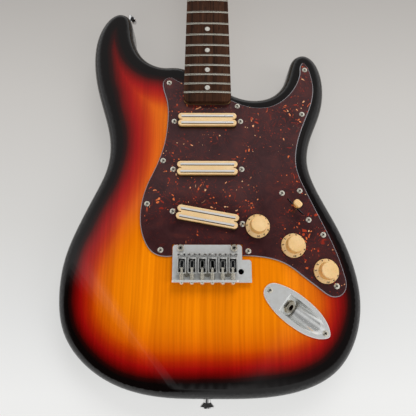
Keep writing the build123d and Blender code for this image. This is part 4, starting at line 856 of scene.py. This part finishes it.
def coil(start, length):
    """A coil of wire round the Y axis through start, as long as length."""
    bm = bmesh.new()
    wire = bmesh.ops.create_circle(
        bm, cap_ends=True, segments=WIRE_SIDES, radius=SPRING_WIRE,
        matrix=Matrix.Translation((start[0] + SPRING_R, start[1] + SPRING_WIRE, start[2])),
    )["verts"]
    edges = {edge for vert in wire for edge in vert.link_edges}
    faces = {face for vert in wire for face in vert.link_faces}
    steps = int(STEPS_PER_TURN * SPRING_TURNS)
    bmesh.ops.spin(
        bm, geom=[*wire, *edges, *faces], cent=start, axis=(0, 1, 0), use_duplicate=False,
        angle=radians(360.0 * SPRING_TURNS), steps=steps, dvec=(0, (length - 2 * SPRING_WIRE) / steps, 0),
    )
    bmesh.ops.recalc_face_normals(bm, faces=bm.faces)
    return bm


screws_low, screws_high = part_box("intonation_screws")
axis_z = (screws_low.z + screws_high.z) / 2
for number in STRINGS:
    saddle = f"saddle_{number}"
    low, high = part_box(saddle)
    finished(
        f"{saddle}_dressed", cast_saddle(low, high), saddle, "satin_chrome", saddle_steel, pit,
        replaces=[saddle], sharp=35.0,
    )
    start = ((low.x + high.x) / 2, LIP_FRONT, axis_z)
    spring = coil(start, low.y - LIP_FRONT)
    piece = finished(f"intonation_spring_{number}", spring, None, "nickel", nickel, sharp=60.0)
    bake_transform(piece)

zinc = metal(
    "cast zinc", (0.40, 0.40, 0.42), 0.42, 0.62, 400.0, hairlines=0.1, stain=0.2, relief=0.00004
)
dress(zinc, "tremolo_block")
dress(steel, "spring_claw")

# The springs hook into the claw at one end and the block at the other.
near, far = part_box("tremolo_springs")
springs = finished(
    "stretching_springs", merged_copy("tremolo_springs"), None, "steel", steel,
    replaces=["tremolo_springs"],
)
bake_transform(springs)

# ---------------------------------------------------------------- jack
# A boat-shaped plate pressed from one sheet, satin on its flange and bright in the cup, with a
# nickel-plated socket whose nut shows in the cup's steep wall.

FLANGE_LOW = 0.0460
FLANGE_FADE = 0.0008
jack_chrome = metal(
    "pressed jack plate", (0.90, 0.91, 0.90), 0.14, 0.24, 200.0, hairlines=0.3, stain=0.05, bare=0.5
)
tree = jack_chrome.node_tree
height = part_of(tree, object_point(tree), "Z")
in_cup = remap(tree, height, FLANGE_LOW, FLANGE_LOW - FLANGE_FADE, 0.5, 0.93)
feed(tree, tree.nodes["Principled BSDF"], metallic=in_cup)
dress(jack_chrome, "jack_plate")
dress(metal("nickel-plated socket", (0.62, 0.57, 0.48), 0.14, 0.28, 200.0), "jack_socket")

# ---------------------------------------------------------------- back of the body
# A black plastic cover over the spring cavity, level with the wood, a chromed plate under the
# neck's four screws, and a strap button at each end.

cover_black, tree, surface = material("black back cover", specular_ior_level=0.4)
grain = noise(tree, object_point(tree), 1400.0, 2.0)
moulded = ramp(tree, grain, ((0.3, 0.012), (0.7, 0.022)))
marks = use(tree, handling, scale=40.0, smooth=0.28, rough=0.5, hairlines=0.5)
feed(tree, surface, base_color=moulded, roughness=marks["Roughness"])
bump(tree, surface, grain, 0.00003)
dress(cover_black, "back_cover")
dress(chrome, "neck_plate", "strap_buttons")

# ---------------------------------------------------------------- screws
# Raised countersunk screws with cross recesses, nickel plated, each left turned its own way, with
# the walls and floor of each recess darkened nearly to black.

recess_darkening, tree, surface = material("darkened recesses", metallic=0.3)
recess_mottle = noise(tree, object_point(tree), 2500.0, 2.0)
recess_tone = ramp(tree, recess_mottle, ((0.3, (0.008, 0.007, 0.006)), (0.7, (0.035, 0.030, 0.024))))
marks = use(tree, handling, scale=500.0, smooth=0.45, rough=0.7)
feed(tree, surface, base_color=recess_tone, roughness=marks["Roughness"])

# One row per node: its slot and finish, the reach and depth of the recess, and the way that the
# heads face.
UP, DOWN = 1, -1
SCREWS = {
    "pickguard_screws": ("nickel", nickel, 0.0018, 0.0016, UP),
    "pickup_screws": ("nickel", nickel, 0.0019, 0.0016, UP),
    "selector_screws": ("nickel", nickel, 0.0018, 0.0016, UP),
    "jack_plate_screws": ("nickel", nickel, 0.0020, 0.0016, UP),
    "bridge_studs": ("nickel", nickel, 0.0019, 0.0014, UP),
    "back_cover_screws": ("nickel", nickel, 0.0017, 0.0015, DOWN),
    "neck_screws": ("chrome", chrome, 0.0026, 0.0022, DOWN),
}
TURN_STEP = 37.0  # from each screw's recess to the next one's
SLOT_SHARE = 0.24  # half the width of the cross, as a share of its reach
CUTTER_RISE = 0.0006
TAPER = 0.35
REACH_SLACK, DEPTH_SLACK = 1.02, 1.2  # the dark finish is looked for a little beyond the recess
STEEPEST = 0.6  # the upright part of a normal, below which a face is a wall of the recess
NEAR_FLOOR = 0.8


def screw_heads(bm, facing):
    """The middle of each screw's outermost face, in the order of the screws along Y and X."""
    heads = []
    for solid in loose_solids(bm):
        low = Vector(min(vert.co[axis] for vert in solid) for axis in range(3))
        high = Vector(max(vert.co[axis] for vert in solid) for axis in range(3))
        tip = (high if facing == UP else low).z
        heads.append(Vector(((low.x + high.x) / 2, (low.y + high.y) / 2, tip)))
    return sorted(heads, key=lambda head: (round(head.y, 5), round(head.x, 5)))


def cross_cutter(heads, reach, depth, facing):
    """A tapered cross at each head, from just outside it down to the depth of the recess."""
    bm = bmesh.new()
    narrow = reach * SLOT_SHARE
    quarter_plan = ((reach, -narrow, 0), (reach, narrow, 0), (narrow, narrow, 0))
    for index, head in enumerate(heads):
        plan = []
        for quarter in range(4):
            spin = Matrix.Rotation(radians(90.0 * quarter + TURN_STEP * (index + 1)), 4, "Z")
            plan += [spin @ Vector(point) for point in quarter_plan]
        rise = Vector((0, 0, facing * CUTTER_RISE))
        top = bm.faces.new([bm.verts.new(head + point + rise) for point in plan])
        extruded = bmesh.ops.extrude_face_region(bm, geom=[top])["geom"]
        below = [item for item in extruded if isinstance(item, bmesh.types.BMVert)]
        bmesh.ops.translate(bm, vec=(0, 0, -facing * (depth + CUTTER_RISE)), verts=below)
        bmesh.ops.scale(bm, vec=(TAPER, TAPER, 1.0), verts=below, space=Matrix.Translation(-head))
    bmesh.ops.recalc_face_normals(bm, faces=bm.faces)
    return bm


def cut_away(bm, cutter):
    """What is left of one bmesh where another is cut out of it."""
    pair = []
    for mesh in (bm, cutter):
        data = bpy.data.meshes.new("screw work")
        mesh.to_mesh(data)
        mesh.free()
        pair.append(bpy.data.objects.new("screw work", data))
        scene.collection.objects.link(pair[-1])
    screws, tool = pair
    cut = screws.modifiers.new("recess", "BOOLEAN")
    cut.object = tool
    cut.operation = "DIFFERENCE"
    cut.solver = "EXACT"
    left = worked_out(screws)
    bpy.data.objects.remove(tool)
    return left


for node, (slot, finish, reach, depth, facing) in SCREWS.items():
    screws = merged_copy(node)
    heads = screw_heads(screws, facing)
    bm = cut_away(screws, cross_cutter(heads, reach, depth, facing))
    for face in bm.faces:
        centre = face.calc_center_median()
        head = min(heads, key=lambda each: (each.xy - centre.xy).length)
        sunk = (head.z - centre.z) * facing
        inside = (head.xy - centre.xy).length < reach * REACH_SLACK and sunk < depth * DEPTH_SLACK
        wall_or_floor = face.normal.z * facing < STEEPEST or sunk > depth * NEAR_FLOOR
        face.material_index = int(inside and wall_or_floor)
    finished(f"{node}_cut", bm, "guitar", slot, finish, recess_darkening, replaces=[node], sharp=30.0)

scene.view_settings.view_transform = "Standard"
